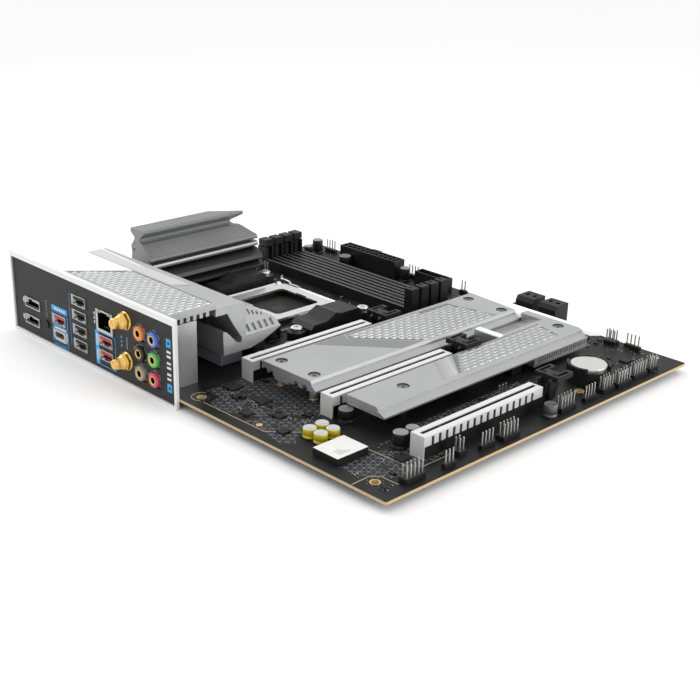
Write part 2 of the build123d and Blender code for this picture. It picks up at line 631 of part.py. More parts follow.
LUG_R = 5.4
LUG_H = 6.0
BRACKET_BODY = (
    (-22.0, 0), (-22.0, 7.0), (-19.5, 9.6), (-10.0, 9.6), (-2.0, 13.4), (2.0, 12.2),
    (16.4, 12.2), (18.4, 9.0), (18.4, 0),
)
for side, bracket_name in ((-1, "cooler_bracket_lower"), (1, "cooler_bracket_upper")):
    screw_y = SOCKET_Y + side * COOLER_SPAN_Y / 2
    body_y0 = SOCKET_Y + (-35.0 if side < 0 else 33.5)
    body_y1 = body_y0 - 17.5 if side < 0 else body_y0 + 14.0
    with BuildPart() as cooler_bracket:
        for end in (-1, 1):
            screw_x = SOCKET_X + end * COOLER_SPAN_X / 2
            rods([(screw_x, screw_y)], LUG_R, 0, LUG_H)
        block(SOCKET_X - COOLER_SPAN_X / 2, SOCKET_X + COOLER_SPAN_X / 2,
              screw_y - 4.0, screw_y + 4.0, 0, LUG_H)
        low, high = sorted((body_y0, body_y1))
        prism(section_y(high), [(SOCKET_X + x, z) for x, z in BRACKET_BODY], high - low)
        rods([(SOCKET_X + end * COOLER_SPAN_X / 2, screw_y) for end in (-1, 1)],
             COOLER_SCREW_R + 0.35, -1, LUG_H + 1, Mode.SUBTRACT)
        rods([(SOCKET_X + end * COOLER_SPAN_X / 2, screw_y) for end in (-1, 1)],
             4.0, LUG_H, LUG_H + 20, Mode.SUBTRACT)
    save(cooler_bracket, bracket_name)

with BuildPart() as cooler_screws:
    rods(COOLER_SCREWS, 3.5, LUG_H, LUG_H + 2.6)
    fillet(cooler_screws.edges().group_by(Axis.Z)[-1], 0.8)
    rods(COOLER_SCREWS, COOLER_SCREW_R, -BOARD_T, LUG_H)
    with Locations(*[spot(x, y, LUG_H + 2.6) for x, y in COOLER_SCREWS]):
        Box(3.2, 0.7, 1.6, mode=Mode.SUBTRACT)
        Box(0.7, 3.2, 1.6, mode=Mode.SUBTRACT)
save(cooler_screws, "cooler_screws")

with BuildPart() as socket_backplate:
    with BuildSketch(level(-BOARD_T - BACKPLATE_T)):
        with Locations((SOCKET_X, SOCKET_Y)):
            RectangleRounded(COOLER_SPAN_X + 12, COOLER_SPAN_Y + 12, 5)
            RectangleRounded(30, 30, 3, mode=Mode.SUBTRACT)
            for side in (-1, 1):
                with Locations((side * COOLER_SPAN_X / 2 + side * 2, 0)):
                    RectangleRounded(14, 44, 4, mode=Mode.SUBTRACT)
    extrude(amount=BACKPLATE_T)
    rods(COOLER_SCREWS, COOLER_BOSS_R, -BOARD_T, 0)
    rods(COOLER_SCREWS, COOLER_BORE_R, -BOARD_T - BACKPLATE_T - 1, 1, Mode.SUBTRACT)
save(socket_backplate, "socket_backplate")

# ---------------------------------------------------------------- memory slots
TOWER_LEN = 6.0
LATCH_ZONE = 12.0
DIMM_PIVOT_INSET = 6.5
DIMM_PIVOT_Z = 4.5
DIMM_PIN_R = 0.8
DIMM_CHEEK_END = 2.8
LATCH_THICK = DIMM_W - 2 * DIMM_CHEEK_T - 2 * DIMM_LATCH_GAP
for index in range(DIMM_COUNT):
    x0 = DIMM_X0 + index * DIMM_PITCH
    x1 = x0 + DIMM_W
    middle = (x0 + x1) / 2
    body_end = DIMM_Y1 - LATCH_ZONE
    pivot_y = DIMM_Y1 - DIMM_PIVOT_INSET
    with BuildPart() as dimm_slot:
        block(x0, x1, DIMM_Y0, DIMM_Y1 - LATCH_ZONE, 0, DIMM_H)
        block(x0, x1, DIMM_Y0, DIMM_Y0 + TOWER_LEN, 0, DIMM_TOWER_H)
        block(x0, x1, body_end, pivot_y + DIMM_CHEEK_END, 0, 2.4)
        for left in (x0, x1 - DIMM_CHEEK_T):
            block(left, left + DIMM_CHEEK_T, body_end, pivot_y + DIMM_CHEEK_END, 0, DIMM_CHEEK_H)
        groove = DIMM_GROOVE / 2
        block(middle - groove, middle + groove, DIMM_Y0 + 2.5, body_end + 1,
              2.4, DIMM_TOWER_H + 1, Mode.SUBTRACT)
        key_y = (DIMM_Y0 + body_end) / 2 + 3.4
        block(middle - 1.2, middle + 1.2, key_y - 0.8, key_y + 0.8, 0, DIMM_H - 0.4)
        rod_x(x0 - 1, x1 + 1, pivot_y, DIMM_PIVOT_Z, DIMM_PIN_R + HINGE_GAP, Mode.SUBTRACT)
    save(dimm_slot, f"dimm_slot_{index + 1}")
    with BuildPart() as dimm_latch:
        half = LATCH_THICK / 2
        block(middle - half, middle + half, pivot_y - 3.5, pivot_y + 1.6,
              DIMM_PIVOT_Z, DIMM_CHEEK_H + 0.6)
        rod_x(middle - half, middle + half, pivot_y, DIMM_PIVOT_Z, 1.6)
        block(middle - 3.2, middle + 3.2, pivot_y - 5.0, pivot_y + 2.0,
              DIMM_CHEEK_H + 0.6, DIMM_TOWER_H + 0.4)
        rod_y(pivot_y - 6, pivot_y + 4, middle, DIMM_CHEEK_H - 0.6, 0.7, Mode.SUBTRACT)
        rod_x(x0, x1, pivot_y, DIMM_PIVOT_Z, DIMM_PIN_R)
    save(dimm_latch, f"dimm_latch_{index + 1}")

# ---------------------------------------------------------------- expansion slots
LATCH_PIVOT_X = PCIE_X0 + PCIE_LEN + 9.5
LATCH_PIVOT_Z = 4.2
BRACKET_HALF = 2.2
ARM_T = 1.6
for index in range(3):
    middle = PCIE_FIRST_Y + index * PCIE_PITCH
    x1 = PCIE_X0 + PCIE_LEN
    half = PCIE_W / 2
    arm_in = BRACKET_HALF + LATCH_GAP
    arm_out = arm_in + ARM_T
    with BuildPart() as pcie_slot:
        block(PCIE_X0, x1, middle - half, middle + half, 0, PCIE_H)
        groove = PCIE_GROOVE / 2
        key = PCIE_X0 + PCIE_KEY_X
        block(PCIE_X0 + 2, key, middle - groove, middle + groove, 3, PCIE_H + 1, Mode.SUBTRACT)
        block(key + 1.8, x1 - 1.6, middle - groove, middle + groove, 3, PCIE_H + 1, Mode.SUBTRACT)
        block(x1, x1 + 2.0, middle - half, middle + half, 0, 6.0)
        block(x1 + 1.0, LATCH_PIVOT_X + 3.0, middle - BRACKET_HALF, middle + BRACKET_HALF, 0, 6.4)
        rod_y(middle - 6, middle + 6, LATCH_PIVOT_X, LATCH_PIVOT_Z, LATCH_PIN_R + HINGE_GAP,
              Mode.SUBTRACT)
    save(pcie_slot, f"pcie_slot_{index + 1}")

    with BuildPart() as pcie_latch:
        for side in (-1, 1):
            low, high = sorted((side * arm_in, side * arm_out))
            prism(section_y(middle + high), (
                (LATCH_PIVOT_X - 2.4, 2.2), (LATCH_PIVOT_X + 2.4, 2.2),
                (LATCH_PIVOT_X + 4.8, 9.0), (LATCH_PIVOT_X + 6.0, 13.0),
                (LATCH_PIVOT_X + 1.0, 16.0), (LATCH_PIVOT_X - 2.8, 12.5),
                (LATCH_PIVOT_X - 3.2, 6.0)), high - low)
            low, high = sorted((side * (arm_out - 0.4), side * WING_HALF))
            block(LATCH_PIVOT_X - 1.6, LATCH_PIVOT_X + 11.6, middle + low, middle + high,
                  12.6, 15.4)
            low, high = sorted((side * (arm_out + 0.6), side * (WING_HALF - 1.0)))
            block(LATCH_PIVOT_X + 0.4, LATCH_PIVOT_X + 9.6, middle + low, middle + high,
                  12, 16, Mode.SUBTRACT)
        block(LATCH_PIVOT_X - 1.6, LATCH_PIVOT_X + 5.4, middle - arm_out, middle + arm_out,
              10.6, 15.4)
        rod_y(middle - arm_out, middle + arm_out, LATCH_PIVOT_X, LATCH_PIVOT_Z, LATCH_PIN_R)
    save(pcie_latch, f"pcie_latch_{index + 1}")

with BuildPart() as pcie_armour:
    inner = PCIE_W / 2 + ARMOUR_GAP
    outer = inner + ARMOUR_T
    top = PCIE_H + ARMOUR_GAP
    x1 = PCIE_X0 + PCIE_LEN
    window_count = int((PCIE_LEN - 6) // ARMOUR_WINDOW_PITCH)
    for index in range(3):
        middle = PCIE_FIRST_Y + index * PCIE_PITCH
        block(PCIE_X0 - ARMOUR_GAP - ARMOUR_T, x1, middle - outer, middle + outer,
              0, top + ARMOUR_T)
        block(PCIE_X0 - ARMOUR_GAP, x1 + 1, middle - inner, middle + inner, -1, top,
              Mode.SUBTRACT)
        block(PCIE_X0 + 1.6, x1 - 1.2, middle - 1.2, middle + 1.2, top - 1, top + 2,
              Mode.SUBTRACT)
        windows = [(PCIE_X0 + 5.5 + ARMOUR_WINDOW_PITCH * window, middle)
                   for window in range(window_count)]
        boxes(windows, (ARMOUR_WINDOW_W, 2 * outer + 2, ARMOUR_WINDOW_TOP - ARMOUR_FLANGE_Z + 1),
              ARMOUR_FLANGE_Z - 1, Mode.SUBTRACT)
        block(PCIE_X0 - ARMOUR_GAP, x1 + 1, middle - outer - 1, middle + outer + 1,
              -1, ARMOUR_FLANGE_Z, Mode.SUBTRACT)
save(pcie_armour, "pcie_armour")

# ---------------------------------------------------------------- storage and chipset
UPPER_SINK_Y0 = 91.7
UPPER_SINK_EDGE = 96.0
UPPER_SINK_Y1 = 132.4
UPPER_END_NEAR = 208.6
UPPER_END_FAR = 212.6
LOWER_SINK_Y0 = 47.6
LOWER_SINK_EDGE = 53.6
LOWER_SINK_Y1 = 73.8
CHIPSET_X0 = 166.8
COMB_SLOTS = 22
COMB_PITCH = 2.05
POCKET_X0 = 172.2
POCKET_X1 = 209.6
SINK_SCREWS = (
    (51.6, 126.0, SINK_TOP), (51.6, 101.0, SINK_TOP), (202.6, 126.2, SINK_TOP),
    (202.6, 100.7, SINK_TOP), (77.0, 62.6, LOWER_SINK_TOP), (208.2, 63.6, LOWER_SINK_TOP),
)
SINK_RECESS = 0.9
SINK_HEAD_R = 2.9
SINK_RECESS_R = 3.3


def screw_recesses(top):
    """Cut the screw recesses and clearance holes of one heatsink."""
    for x, y, height in SINK_SCREWS:
        if height == top:
            rods([(x, y)], SINK_RECESS_R, top - SINK_RECESS - 1.2, top + 1, Mode.SUBTRACT)
            rods([(x, y)], SINK_SCREW_R + 0.3, 0, top + 1, Mode.SUBTRACT)


with BuildPart() as upper_m2_heatsink:
    prism(section_x(UPPER_SINK_X0), (
        (UPPER_SINK_EDGE, SINK_TOP), (UPPER_SINK_Y1, SINK_TOP), (UPPER_SINK_Y1, SINK_TOP - 3.0),
        (UPPER_SINK_Y1 - 3.0, SINK_TOP - 3.6), (UPPER_SINK_Y1 - 4.0, SINK_BASE + 0.6),
        (UPPER_SINK_Y1 - 9.0, SINK_BASE), (UPPER_SINK_Y1 - 9.5, SINK_BASE - 1.6),
        (UPPER_SINK_Y1 - 20.0, SINK_BASE - 1.6), (UPPER_SINK_Y1 - 20.5, SINK_BASE),
        (UPPER_SINK_EDGE + 4.0, SINK_BASE), (UPPER_SINK_Y0, SINK_BASE),
        (UPPER_SINK_Y0, SINK_BASE + 1.4), (UPPER_SINK_EDGE - 1.9, SINK_TOP - 3.0),
        (UPPER_SINK_EDGE - 0.7, SINK_TOP - 2.4), (UPPER_SINK_EDGE - 1.1, SINK_TOP - 1.5),
    ), SINK_X1 - UPPER_SINK_X0)
    for y in (UPPER_SINK_EDGE + 2.4, UPPER_SINK_EDGE + 9.0, UPPER_SINK_Y1 - 8.0):
        block(UPPER_SINK_X0 - 1, UPPER_SINK_X0 + 2.6, y, y + 3.2,
              SINK_BASE - 2, SINK_BASE + 2.4, Mode.SUBTRACT)
    with BuildSketch(level(SINK_BASE - 3)) as end_cut:
        with BuildLine():
            Polyline((UPPER_END_NEAR, UPPER_SINK_Y0 - 1), (UPPER_END_FAR, UPPER_SINK_Y1 + 1),
                     (SINK_X1 + 2, UPPER_SINK_Y1 + 1), (SINK_X1 + 2, UPPER_SINK_Y0 - 1), close=True)
        make_face()
    extrude(end_cut.sketch, amount=SINK_TOP, mode=Mode.SUBTRACT)
    screw_recesses(SINK_TOP)
save(upper_m2_heatsink, "upper_m2_heatsink")

with BuildPart() as lower_m2_heatsink:
    prism(section_x(LOWER_SINK_X0), (
        (LOWER_SINK_EDGE, LOWER_SINK_TOP), (LOWER_SINK_Y1, LOWER_SINK_TOP),
        (LOWER_SINK_Y1, SINK_BASE), (LOWER_SINK_Y0, SINK_BASE), (LOWER_SINK_Y0, SINK_BASE + 1.0),
        (LOWER_SINK_EDGE - 2.6, LOWER_SINK_TOP - 2.6), (LOWER_SINK_EDGE - 1.3, LOWER_SINK_TOP - 2.1),
        (LOWER_SINK_EDGE - 1.6, LOWER_SINK_TOP - 1.2),
    ), SINK_X1 - LOWER_SINK_X0)
    chipset_y1 = UPPER_SINK_Y0 - 0.3
    block(CHIPSET_X0, SINK_X1, LOWER_SINK_Y1 - 1, chipset_y1, 2.9, LOWER_SINK_TOP)
    prism(section_x(POCKET_X0), (
        (LOWER_SINK_Y1 + 1.5, LOWER_SINK_TOP), (chipset_y1 + 1, 7.6), (chipset_y1 + 1, 20),
        (LOWER_SINK_Y1 + 1.5, 20)), POCKET_X1 - POCKET_X0, Mode.SUBTRACT)
    block(CHIPSET_X0, SINK_X1, LOWER_SINK_Y0 + 0.5, LOWER_SINK_Y1, 2.9, SINK_BASE + 0.5)
    for index in range(COMB_SLOTS):
        x = CHIPSET_X0 + 3 + COMB_PITCH * index
        block(x, x + 0.9, LOWER_SINK_Y0, LOWER_SINK_Y0 + 2.4, 4.7, SINK_BASE - 0.2, Mode.SUBTRACT)
    for index in range(7):
        y = LOWER_SINK_Y1 + 4.4 + 1.9 * index
        block(POCKET_X0 + 0.6, POCKET_X1 - 0.6, y, y + 0.8, 6.6, 14, Mode.SUBTRACT)
    screw_recesses(LOWER_SINK_TOP)
save(lower_m2_heatsink, "lower_m2_heatsink")

with BuildPart() as light_bars:
    with BuildSketch(level(SINK_BASE + 2.0)):
        with BuildLine():
            Polyline((SINK_X1 + 0.1, LOWER_SINK_Y0 - 1.0), (SINK_X1 + LIGHT_BAR_W, LOWER_SINK_Y0 - 5),
                     (SINK_X1 + LIGHT_BAR_W, UPPER_SINK_Y1 + 4),
                     (UPPER_END_FAR + 0.2, UPPER_SINK_Y1 + 1), (UPPER_END_NEAR + 0.2, UPPER_SINK_Y0 - 0.2),
                     (SINK_X1 + 0.1, UPPER_SINK_Y0 - 0.2), close=True)
        make_face()
    extrude(amount=2.4)
    block(CHIPSET_X0 + 0.6, POCKET_X0 - 1.0, LOWER_SINK_Y1 + 0.4, chipset_y1 - 0.4,
          LOWER_SINK_TOP, LOWER_SINK_TOP + 0.6)
save(light_bars, "light_bars")

with BuildPart() as heatsink_screws:
    for x, y, top in SINK_SCREWS:
        head = top - SINK_RECESS - 1.2
        rods([(x, y)], SINK_HEAD_R, head, head + 1.5)
        rods([(x, y)], 1.2, head + 0.7, head + 2.0, Mode.SUBTRACT)
        rods([(x, y)], SINK_SCREW_R, 1.0, head)
save(heatsink_screws, "heatsink_screws")

with BuildPart() as heatsink_posts:
    for x, y, top in SINK_SCREWS:
        if y < LOWER_SINK_Y1 and x > CHIPSET_X0:
            post_top = 2.6
        elif top == SINK_TOP and UPPER_SINK_Y1 - 20.5 < y < UPPER_SINK_Y1 - 9.0:
            post_top = SINK_BASE - 1.7
        else:
            post_top = SINK_BASE - 0.3
        rods([(x, y)], SINK_FOOT_R, 0, post_top)
        rods([(x, y)], SINK_POST_R, SINK_FOOT_H, post_top)
        rods([(x, y)], SINK_SCREW_R + SCREW_FIT, 0.6, post_top + 1, Mode.SUBTRACT)
save(heatsink_posts, "heatsink_posts")

M2_SOCKETS = ((188.0, 113.6), (158.0, 64.0))
M2_W = 21.9
with BuildPart() as m2_sockets:
    boxes(M2_SOCKETS, (8.6, M2_W, 4.2), 0)
    boxes([(x - 3.0, y) for x, y in M2_SOCKETS], (4.6, M2_W - 2.0, 1.1), 2.2, Mode.SUBTRACT)
save(m2_sockets, "m2_sockets")

# ---------------------------------------------------------------- battery
HOLDER_CUT = CELL_Z + 1.4
with BuildPart() as battery_holder:
    rods([(CELL_X, CELL_Y)], HOLDER_R, 0, CELL_Z + CELL_T + 0.4)
    rods([(CELL_X, CELL_Y)], CELL_R + CELL_GAP, CELL_Z, CELL_Z + CELL_T + 2, Mode.SUBTRACT)
    reach = HOLDER_R + 2
    block(CELL_X - reach, CELL_X + 4, CELL_Y - reach, CELL_Y - 5.5,
          HOLDER_CUT, CELL_Z + CELL_T + 2, Mode.SUBTRACT)
    block(CELL_X + 6, CELL_X + reach, CELL_Y - 4, CELL_Y + 5,
          HOLDER_CUT, CELL_Z + CELL_T + 2, Mode.SUBTRACT)
    block(CELL_X - 4, CELL_X + 4, CELL_Y + 6, CELL_Y + reach,
          HOLDER_CUT, CELL_Z + CELL_T + 2, Mode.SUBTRACT)
save(battery_holder, "battery_holder")

with BuildPart() as coin_cell:
    rods([(CELL_X, CELL_Y)], CELL_R, CELL_Z + 0.02, CELL_Z + CELL_T)
    fillet(coin_cell.edges().group_by(Axis.Z)[-1], 0.5)
save(coin_cell, "coin_cell")

# ---------------------------------------------------------------- edge connectors
ATX_Y0 = BOARD_Y - 96.4
ATX_LEN = 51.6
ATX_X0 = BOARD_X - 19.3
with BuildPart() as atx_power_socket:
    block(ATX_X0, ATX_X0 + 9.6, ATX_Y0, ATX_Y0 + ATX_LEN, 0, 12.8)
    block(ATX_X0 + 9.6, ATX_X0 + 11.0, ATX_Y0 + 22, ATX_Y0 + 29.6, 5.6, 12.8)
    for column in range(12):
        for row in range(2):
            left = ATX_X0 + 0.9 + 4.2 * row
            low = ATX_Y0 + 1.0 + 4.18 * column
            block(left, left + 3.6, low, low + 3.6, 2.4, 14, Mode.SUBTRACT)
save(atx_power_socket, "atx_power_socket")

SATA_STACKS = (99.0, 81.8)
SATA_W = 12.6
SATA_X0 = BOARD_X - 13.4
SATA_H = 14.0
with BuildPart() as sata_ports:
    for y in SATA_STACKS:
        prism(section_y(y + SATA_W), (
            (SATA_X0, 0), (SATA_X0, SATA_H - 2.5), (SATA_X0 + 1.5, SATA_H),
            (BOARD_X - 0.6, SATA_H), (BOARD_X - 0.6, 0)), SATA_W)
        for row in range(2):
            z = 1.0 + 6.5 * row
            block(BOARD_X - 8, BOARD_X + 1, y + 1.0, y + SATA_W - 1.0, z, z + 4.9, Mode.SUBTRACT)
            block(BOARD_X - 8.5, BOARD_X - 1.6, y + 1.8, y + SATA_W - 1.8, z + 1.6, z + 2.8)
        for column in (2.6, 8.0):
            block(SATA_X0 + 5.5, SATA_X0 + 9.0, y + column, y + column + 2.2,
                  SATA_H - 1.6, SATA_H + 1, Mode.SUBTRACT)
    block(SATA_X0 + 3, BOARD_X - 2.0, SATA_STACKS[0] + SATA_W, SATA_STACKS[0] + SATA_W + 7.6,
          0, 5.2)
save(sata_ports, "sata_ports")

USB3_Y0 = BOARD_Y - 137.0
USB3_X0 = BOARD_X - 15.0
with BuildPart() as usb3_header:
    block(USB3_X0, USB3_X0 + 7.6, USB3_Y0, USB3_Y0 + 26.4, 0, 9.4)
    block(USB3_X0 + 0.8, USB3_X0 + 6.8, USB3_Y0 + 0.9, USB3_Y0 + 25.5, 1.8, 10, Mode.SUBTRACT)
    block(USB3_X0 + 3.0, USB3_X0 + 4.4, USB3_Y0 + 2.4, USB3_Y0 + 24.0, 1.8, 6.0)
save(usb3_header, "usb3_header")

# Pin headers: x and y of the first pin, pins along x, pins along y.
HEADERS = (
    (19.4, LOW_ROW, 5, 2), (43.9, LOW_ROW - 1.4, 3, 1), (58.4, 8.6, 2, 2), (71.6, LOW_ROW, 4, 1),
    (86.6, LOW_ROW - 1.2, 5, 2), (134.6, LOW_ROW, 5, 2), (155.2, LOW_ROW, 4, 1),
    (171.8, LOW_ROW, 4, 2), (184.6, LOW_ROW - 0.6, 5, 2), (200.6, LOW_ROW, 5, 2),
    (216.2, LOW_ROW, 3, 2), (121.8, 36.2, 3, 1),
    (BOARD_X - 8.4, 42.6, 2, 3), (BOARD_X - 4.8, 28.4, 1, 4),
    (BOARD_X - 4.6, BOARD_Y - 145.6, 1, 2), (BOARD_X - 5.8, BOARD_Y - 105.6, 1, 4),
    (BOARD_X - 7.0, BOARD_Y - 27.0, 1, 4), (166.0, BOARD_Y - 21.0, 1, 4),
    (168.4, BOARD_Y - 33.0, 1, 2),
)


def header_pins(header):
    """The places of one header's pins."""
    x, y, count_x, count_y = header
    return [(x + PIN_PITCH * i, y + PIN_PITCH * j)
            for i in range(count_x) for j in range(count_y)]


with BuildPart() as header_bodies:
    for x, y, count_x, count_y in HEADERS:
        span_x, span_y = (count_x - 1) * PIN_PITCH, (count_y - 1) * PIN_PITCH
        boxes([(x + span_x / 2, y + span_y / 2)],
              (span_x + PIN_PITCH, span_y + PIN_PITCH, HEADER_H), 0)
    for header in HEADERS:
        boxes(header_pins(header), (PIN_SIDE, PIN_SIDE, HEADER_H + 2), -1, Mode.SUBTRACT)
save(header_bodies, "header_bodies")

with BuildPart() as header_pin_set:
    for header in HEADERS:
        boxes(header_pins(header), (PIN_SIDE, PIN_SIDE, PIN_TOP), 0)
save(header_pin_set, "header_pins")

# ---------------------------------------------------------------- capacitors and chips
DARK_CAPS = (
    (45.8, 71.5, 4.1, 7.0), (44.8, 33.7, 4.0, 8.0), (53.0, 33.6, 3.6, 8.0),
    (127.5, 7.6, 3.5, 7.0), (BOARD_X - 27.6, BOARD_Y - 21.4, 3.2, 8.4),
    (BOARD_X - 15.8, BOARD_Y - 18.4, 3.6, 10.0), (BOARD_X - 24.2, BOARD_Y - 55.0, 4.2, 8.6),
    (BOARD_X - 14.6, BOARD_Y - 101.6, 3.5, 9.4), (89.0, BOARD_Y - 118.0, 3.4, 7.4),
    (96.4, BOARD_Y - 122.6, 3.4, 7.4), (88.4, BOARD_Y - 127.0, 3.4, 7.4),
    (82.0, BOARD_Y - 152.0, 3.6, 8.0), (60.8, BOARD_Y - 152.6, 3.4, 8.0),
)
with BuildPart() as dark_capacitors:
    for x, y, radius, height in DARK_CAPS:
        rods([(x, y)], radius, 0, height)
        rods([(x, y)], radius + 1, 1.3, 1.9, Mode.SUBTRACT)
        rods([(x, y)], radius - 0.35, 1.0, 2.2)
save(dark_capacitors, "dark_capacitors")

AUDIO_CAP_H = 5.4
AUDIO_CAPS = tuple((23.8 + 4.05 * i, 66.0 + 3.85 * j) for i in (-1, 1) for j in (-1, 1))
with BuildPart() as audio_capacitors:
    rods(AUDIO_CAPS, 3.5, 0, AUDIO_CAP_H)
    fillet(audio_capacitors.edges().filter_by(GeomType.CIRCLE).group_by(Axis.Z)[-1], 0.5)
    for x, y in AUDIO_CAPS:
        rods([(x, y)], 5.0, 1.3, 1.8, Mode.SUBTRACT)
        rods([(x, y)], 3.2, 1.0, 2.0)
save(audio_capacitors, "audio_capacitors")

with BuildPart() as audio_shield:
    block(8.0, 28.4, 38.5, 55.4, 0, 3.5)
    fillet(audio_shield.edges().filter_by(Axis.Z), 0.5)
save(audio_shield, "audio_shield")

CHIPSET_CENTRE = (189.0, 75.0)
CHIPSET_BASE = 26.0
CHIPSET_DIE = 16.0
CHIPS = (
    (36.0, 24.0, 7.0, 5.0, 1.0), (24.0, 128.0, 6.0, 6.0, 0.9), (30.0, 116.0, 7.2, 7.2, 1.0),
    (24.0, 96.0, 5.0, 4.0, 0.9), (36.0, 88.0, 4.0, 4.0, 0.9), (112.0, 36.0, 6.0, 6.0, 1.0),
    (148.0, 34.0, 9.0, 9.0, 1.1), (204.0, 36.0, 12.0, 12.0, 1.3), (220.0, 24.0, 6.0, 5.0, 1.0),
    (212.0, 18.0, 5.0, 5.0, 1.0), (232.0, 62.0, 6.0, 6.0, 1.0), (228.0, 130.0, 7.0, 7.0, 1.0),
    (30.0, 140.0, 8.0, 8.0, 1.0), (14.0, 110.0, 5.0, 6.0, 1.0), (14.0, 82.0, 6.0, 5.0, 1.0),
)
with BuildPart() as chips:
    for x, y, size_x, size_y, height in CHIPS:
        boxes([(x, y)], (size_x, size_y, height), 0)
    boxes([(x - 22.0, y) for x, y in REAR_CHOKES], (5.0, 6.0, 1.0), 0)
    boxes([(x, y + 14.0) for x, y in TOP_CHOKES], (6.0, 5.0, 1.0), 0)
    boxes([CHIPSET_CENTRE], (CHIPSET_BASE, CHIPSET_BASE, 1.4), 0)
    boxes([CHIPSET_CENTRE], (CHIPSET_DIE, CHIPSET_DIE, 1.0), 1.4)
save(chips, "chips")
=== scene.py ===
import math
import random

import bmesh
import bpy
from mathutils import Matrix, Vector


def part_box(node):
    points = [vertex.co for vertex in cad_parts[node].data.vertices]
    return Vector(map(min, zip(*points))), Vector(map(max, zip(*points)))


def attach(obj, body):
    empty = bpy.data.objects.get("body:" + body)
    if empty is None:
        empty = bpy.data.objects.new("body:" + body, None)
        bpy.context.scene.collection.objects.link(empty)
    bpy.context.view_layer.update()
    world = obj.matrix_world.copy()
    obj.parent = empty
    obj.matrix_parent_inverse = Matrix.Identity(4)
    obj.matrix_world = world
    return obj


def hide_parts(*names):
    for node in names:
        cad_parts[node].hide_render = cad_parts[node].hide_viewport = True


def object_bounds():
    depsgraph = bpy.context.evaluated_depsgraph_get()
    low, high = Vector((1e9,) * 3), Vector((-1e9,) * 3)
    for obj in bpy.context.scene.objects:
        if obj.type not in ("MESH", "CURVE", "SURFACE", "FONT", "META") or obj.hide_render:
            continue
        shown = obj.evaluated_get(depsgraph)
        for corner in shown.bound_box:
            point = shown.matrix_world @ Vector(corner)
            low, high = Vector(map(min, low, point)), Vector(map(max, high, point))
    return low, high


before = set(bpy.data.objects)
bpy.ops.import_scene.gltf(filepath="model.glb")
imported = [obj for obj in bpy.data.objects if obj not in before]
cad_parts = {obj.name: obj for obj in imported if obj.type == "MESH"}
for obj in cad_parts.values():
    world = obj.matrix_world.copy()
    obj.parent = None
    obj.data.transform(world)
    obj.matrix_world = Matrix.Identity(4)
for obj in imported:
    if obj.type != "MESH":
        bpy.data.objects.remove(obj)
CAD_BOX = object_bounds()

# ---- places
# Board coordinates in millimetres: x from the rear port edge, y from the lower edge,
# z up from the component face. They become metres in the model's frame through at().
MM = 0.001
PCB_LOW, PCB_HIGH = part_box("pcb")
BOARD_X = (PCB_HIGH.x - PCB_LOW.x) / MM
BOARD_Y = (PCB_HIGH.y - PCB_LOW.y) / MM
BOARD_T = (PCB_HIGH.z - PCB_LOW.z) / MM


def at(x, y, z=0.0):
    """A point in the model's frame from board coordinates."""
    return Vector((PCB_LOW.x + x * MM, PCB_LOW.y + y * MM, PCB_HIGH.z + z * MM))


def span(node):
    """A CAD node's limits in board coordinates: x0, x1, y0, y1, z0, z1."""
    low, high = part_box(node)
    return ((low.x - PCB_LOW.x) / MM, (high.x - PCB_LOW.x) / MM,
            (low.y - PCB_LOW.y) / MM, (high.y - PCB_LOW.y) / MM,
            (low.z - PCB_HIGH.z) / MM, (high.z - PCB_HIGH.z) / MM)


# ---- shader helpers
class Shader:
    """A material with a Principled shader and short calls for its nodes."""

    def __init__(self, name, roughness=0.5, metallic=0.0, coat=0.0, specular=0.5):
        self.material = bpy.data.materials.new(name)
        self.material.use_nodes = True
        self.tree = self.material.node_tree
        self.base = self.tree.nodes["Principled BSDF"]
        for socket, value in (("Roughness", roughness), ("Metallic", metallic),
                              ("Coat Weight", coat), ("Specular IOR Level", specular)):
            self.base.inputs[socket].default_value = value
        self.place = self.tree.nodes.new("ShaderNodeTexCoord").outputs["Object"]

    def node(self, kind, settings=None, **inputs):
        made = self.tree.nodes.new("ShaderNode" + kind)
        for key, value in (settings or {}).items():
            setattr(made, key, value)
        for key, value in inputs.items():
            self.feed(made.inputs[key.replace("_", " ")], value)
        return made

    def feed(self, socket, value):
        if isinstance(value, bpy.types.NodeSocket):
            self.tree.links.new(value, socket)
        else:
            socket.default_value = value

    def math(self, operation, first, second=0.0):
        made = self.tree.nodes.new("ShaderNodeMath")
        made.operation = operation
        self.feed(made.inputs[0], first)
        self.feed(made.inputs[1], second)
        return made.outputs[0]

    def noise(self, scale, detail=3.0, stretch=None):
        place = self.place
        if stretch:
            place = self.node("Mapping", Vector=place, Scale=stretch).outputs[0]
        return self.node("TexNoise", Vector=place, Scale=scale, Detail=detail).outputs["Fac"]

    def blend(self, factor, first, second):
        made = self.tree.nodes.new("ShaderNodeMix")
        made.data_type = "RGBA"
        self.feed(made.inputs["Factor"], factor)
        self.feed(made.inputs["A"], first)
        self.feed(made.inputs["B"], second)
        return made.outputs["Result"]

    def spread(self, factor, low, high):
        made = self.node("MapRange", Value=factor)
        made.inputs["To Min"].default_value = low
        made.inputs["To Max"].default_value = high
        return made.outputs[0]

    def colour(self, value):
        self.feed(self.base.inputs["Base Color"], value)

    def roughness(self, value):
        self.feed(self.base.inputs["Roughness"], value)

    def relief(self, height, strength=0.3, distance=0.0001, edge=0.0):
        bump = self.node("Bump", Height=height, Strength=strength, Distance=distance)
        if edge:
            bevel = self.node("Bevel", {"samples": 4}, Radius=edge)
            self.tree.links.new(bevel.outputs[0], bump.inputs["Normal"])
        self.tree.links.new(bump.outputs[0], self.base.inputs["Normal"])


def rgb(red, green=None, blue=None):
    """A linear colour; one number gives a grey."""
    return (red, red if green is None else green, red if blue is None else blue, 1.0)


def tone(value):
    """A colour as it is, or a grey from one number."""
    return rgb(value) if isinstance(value, float) else value


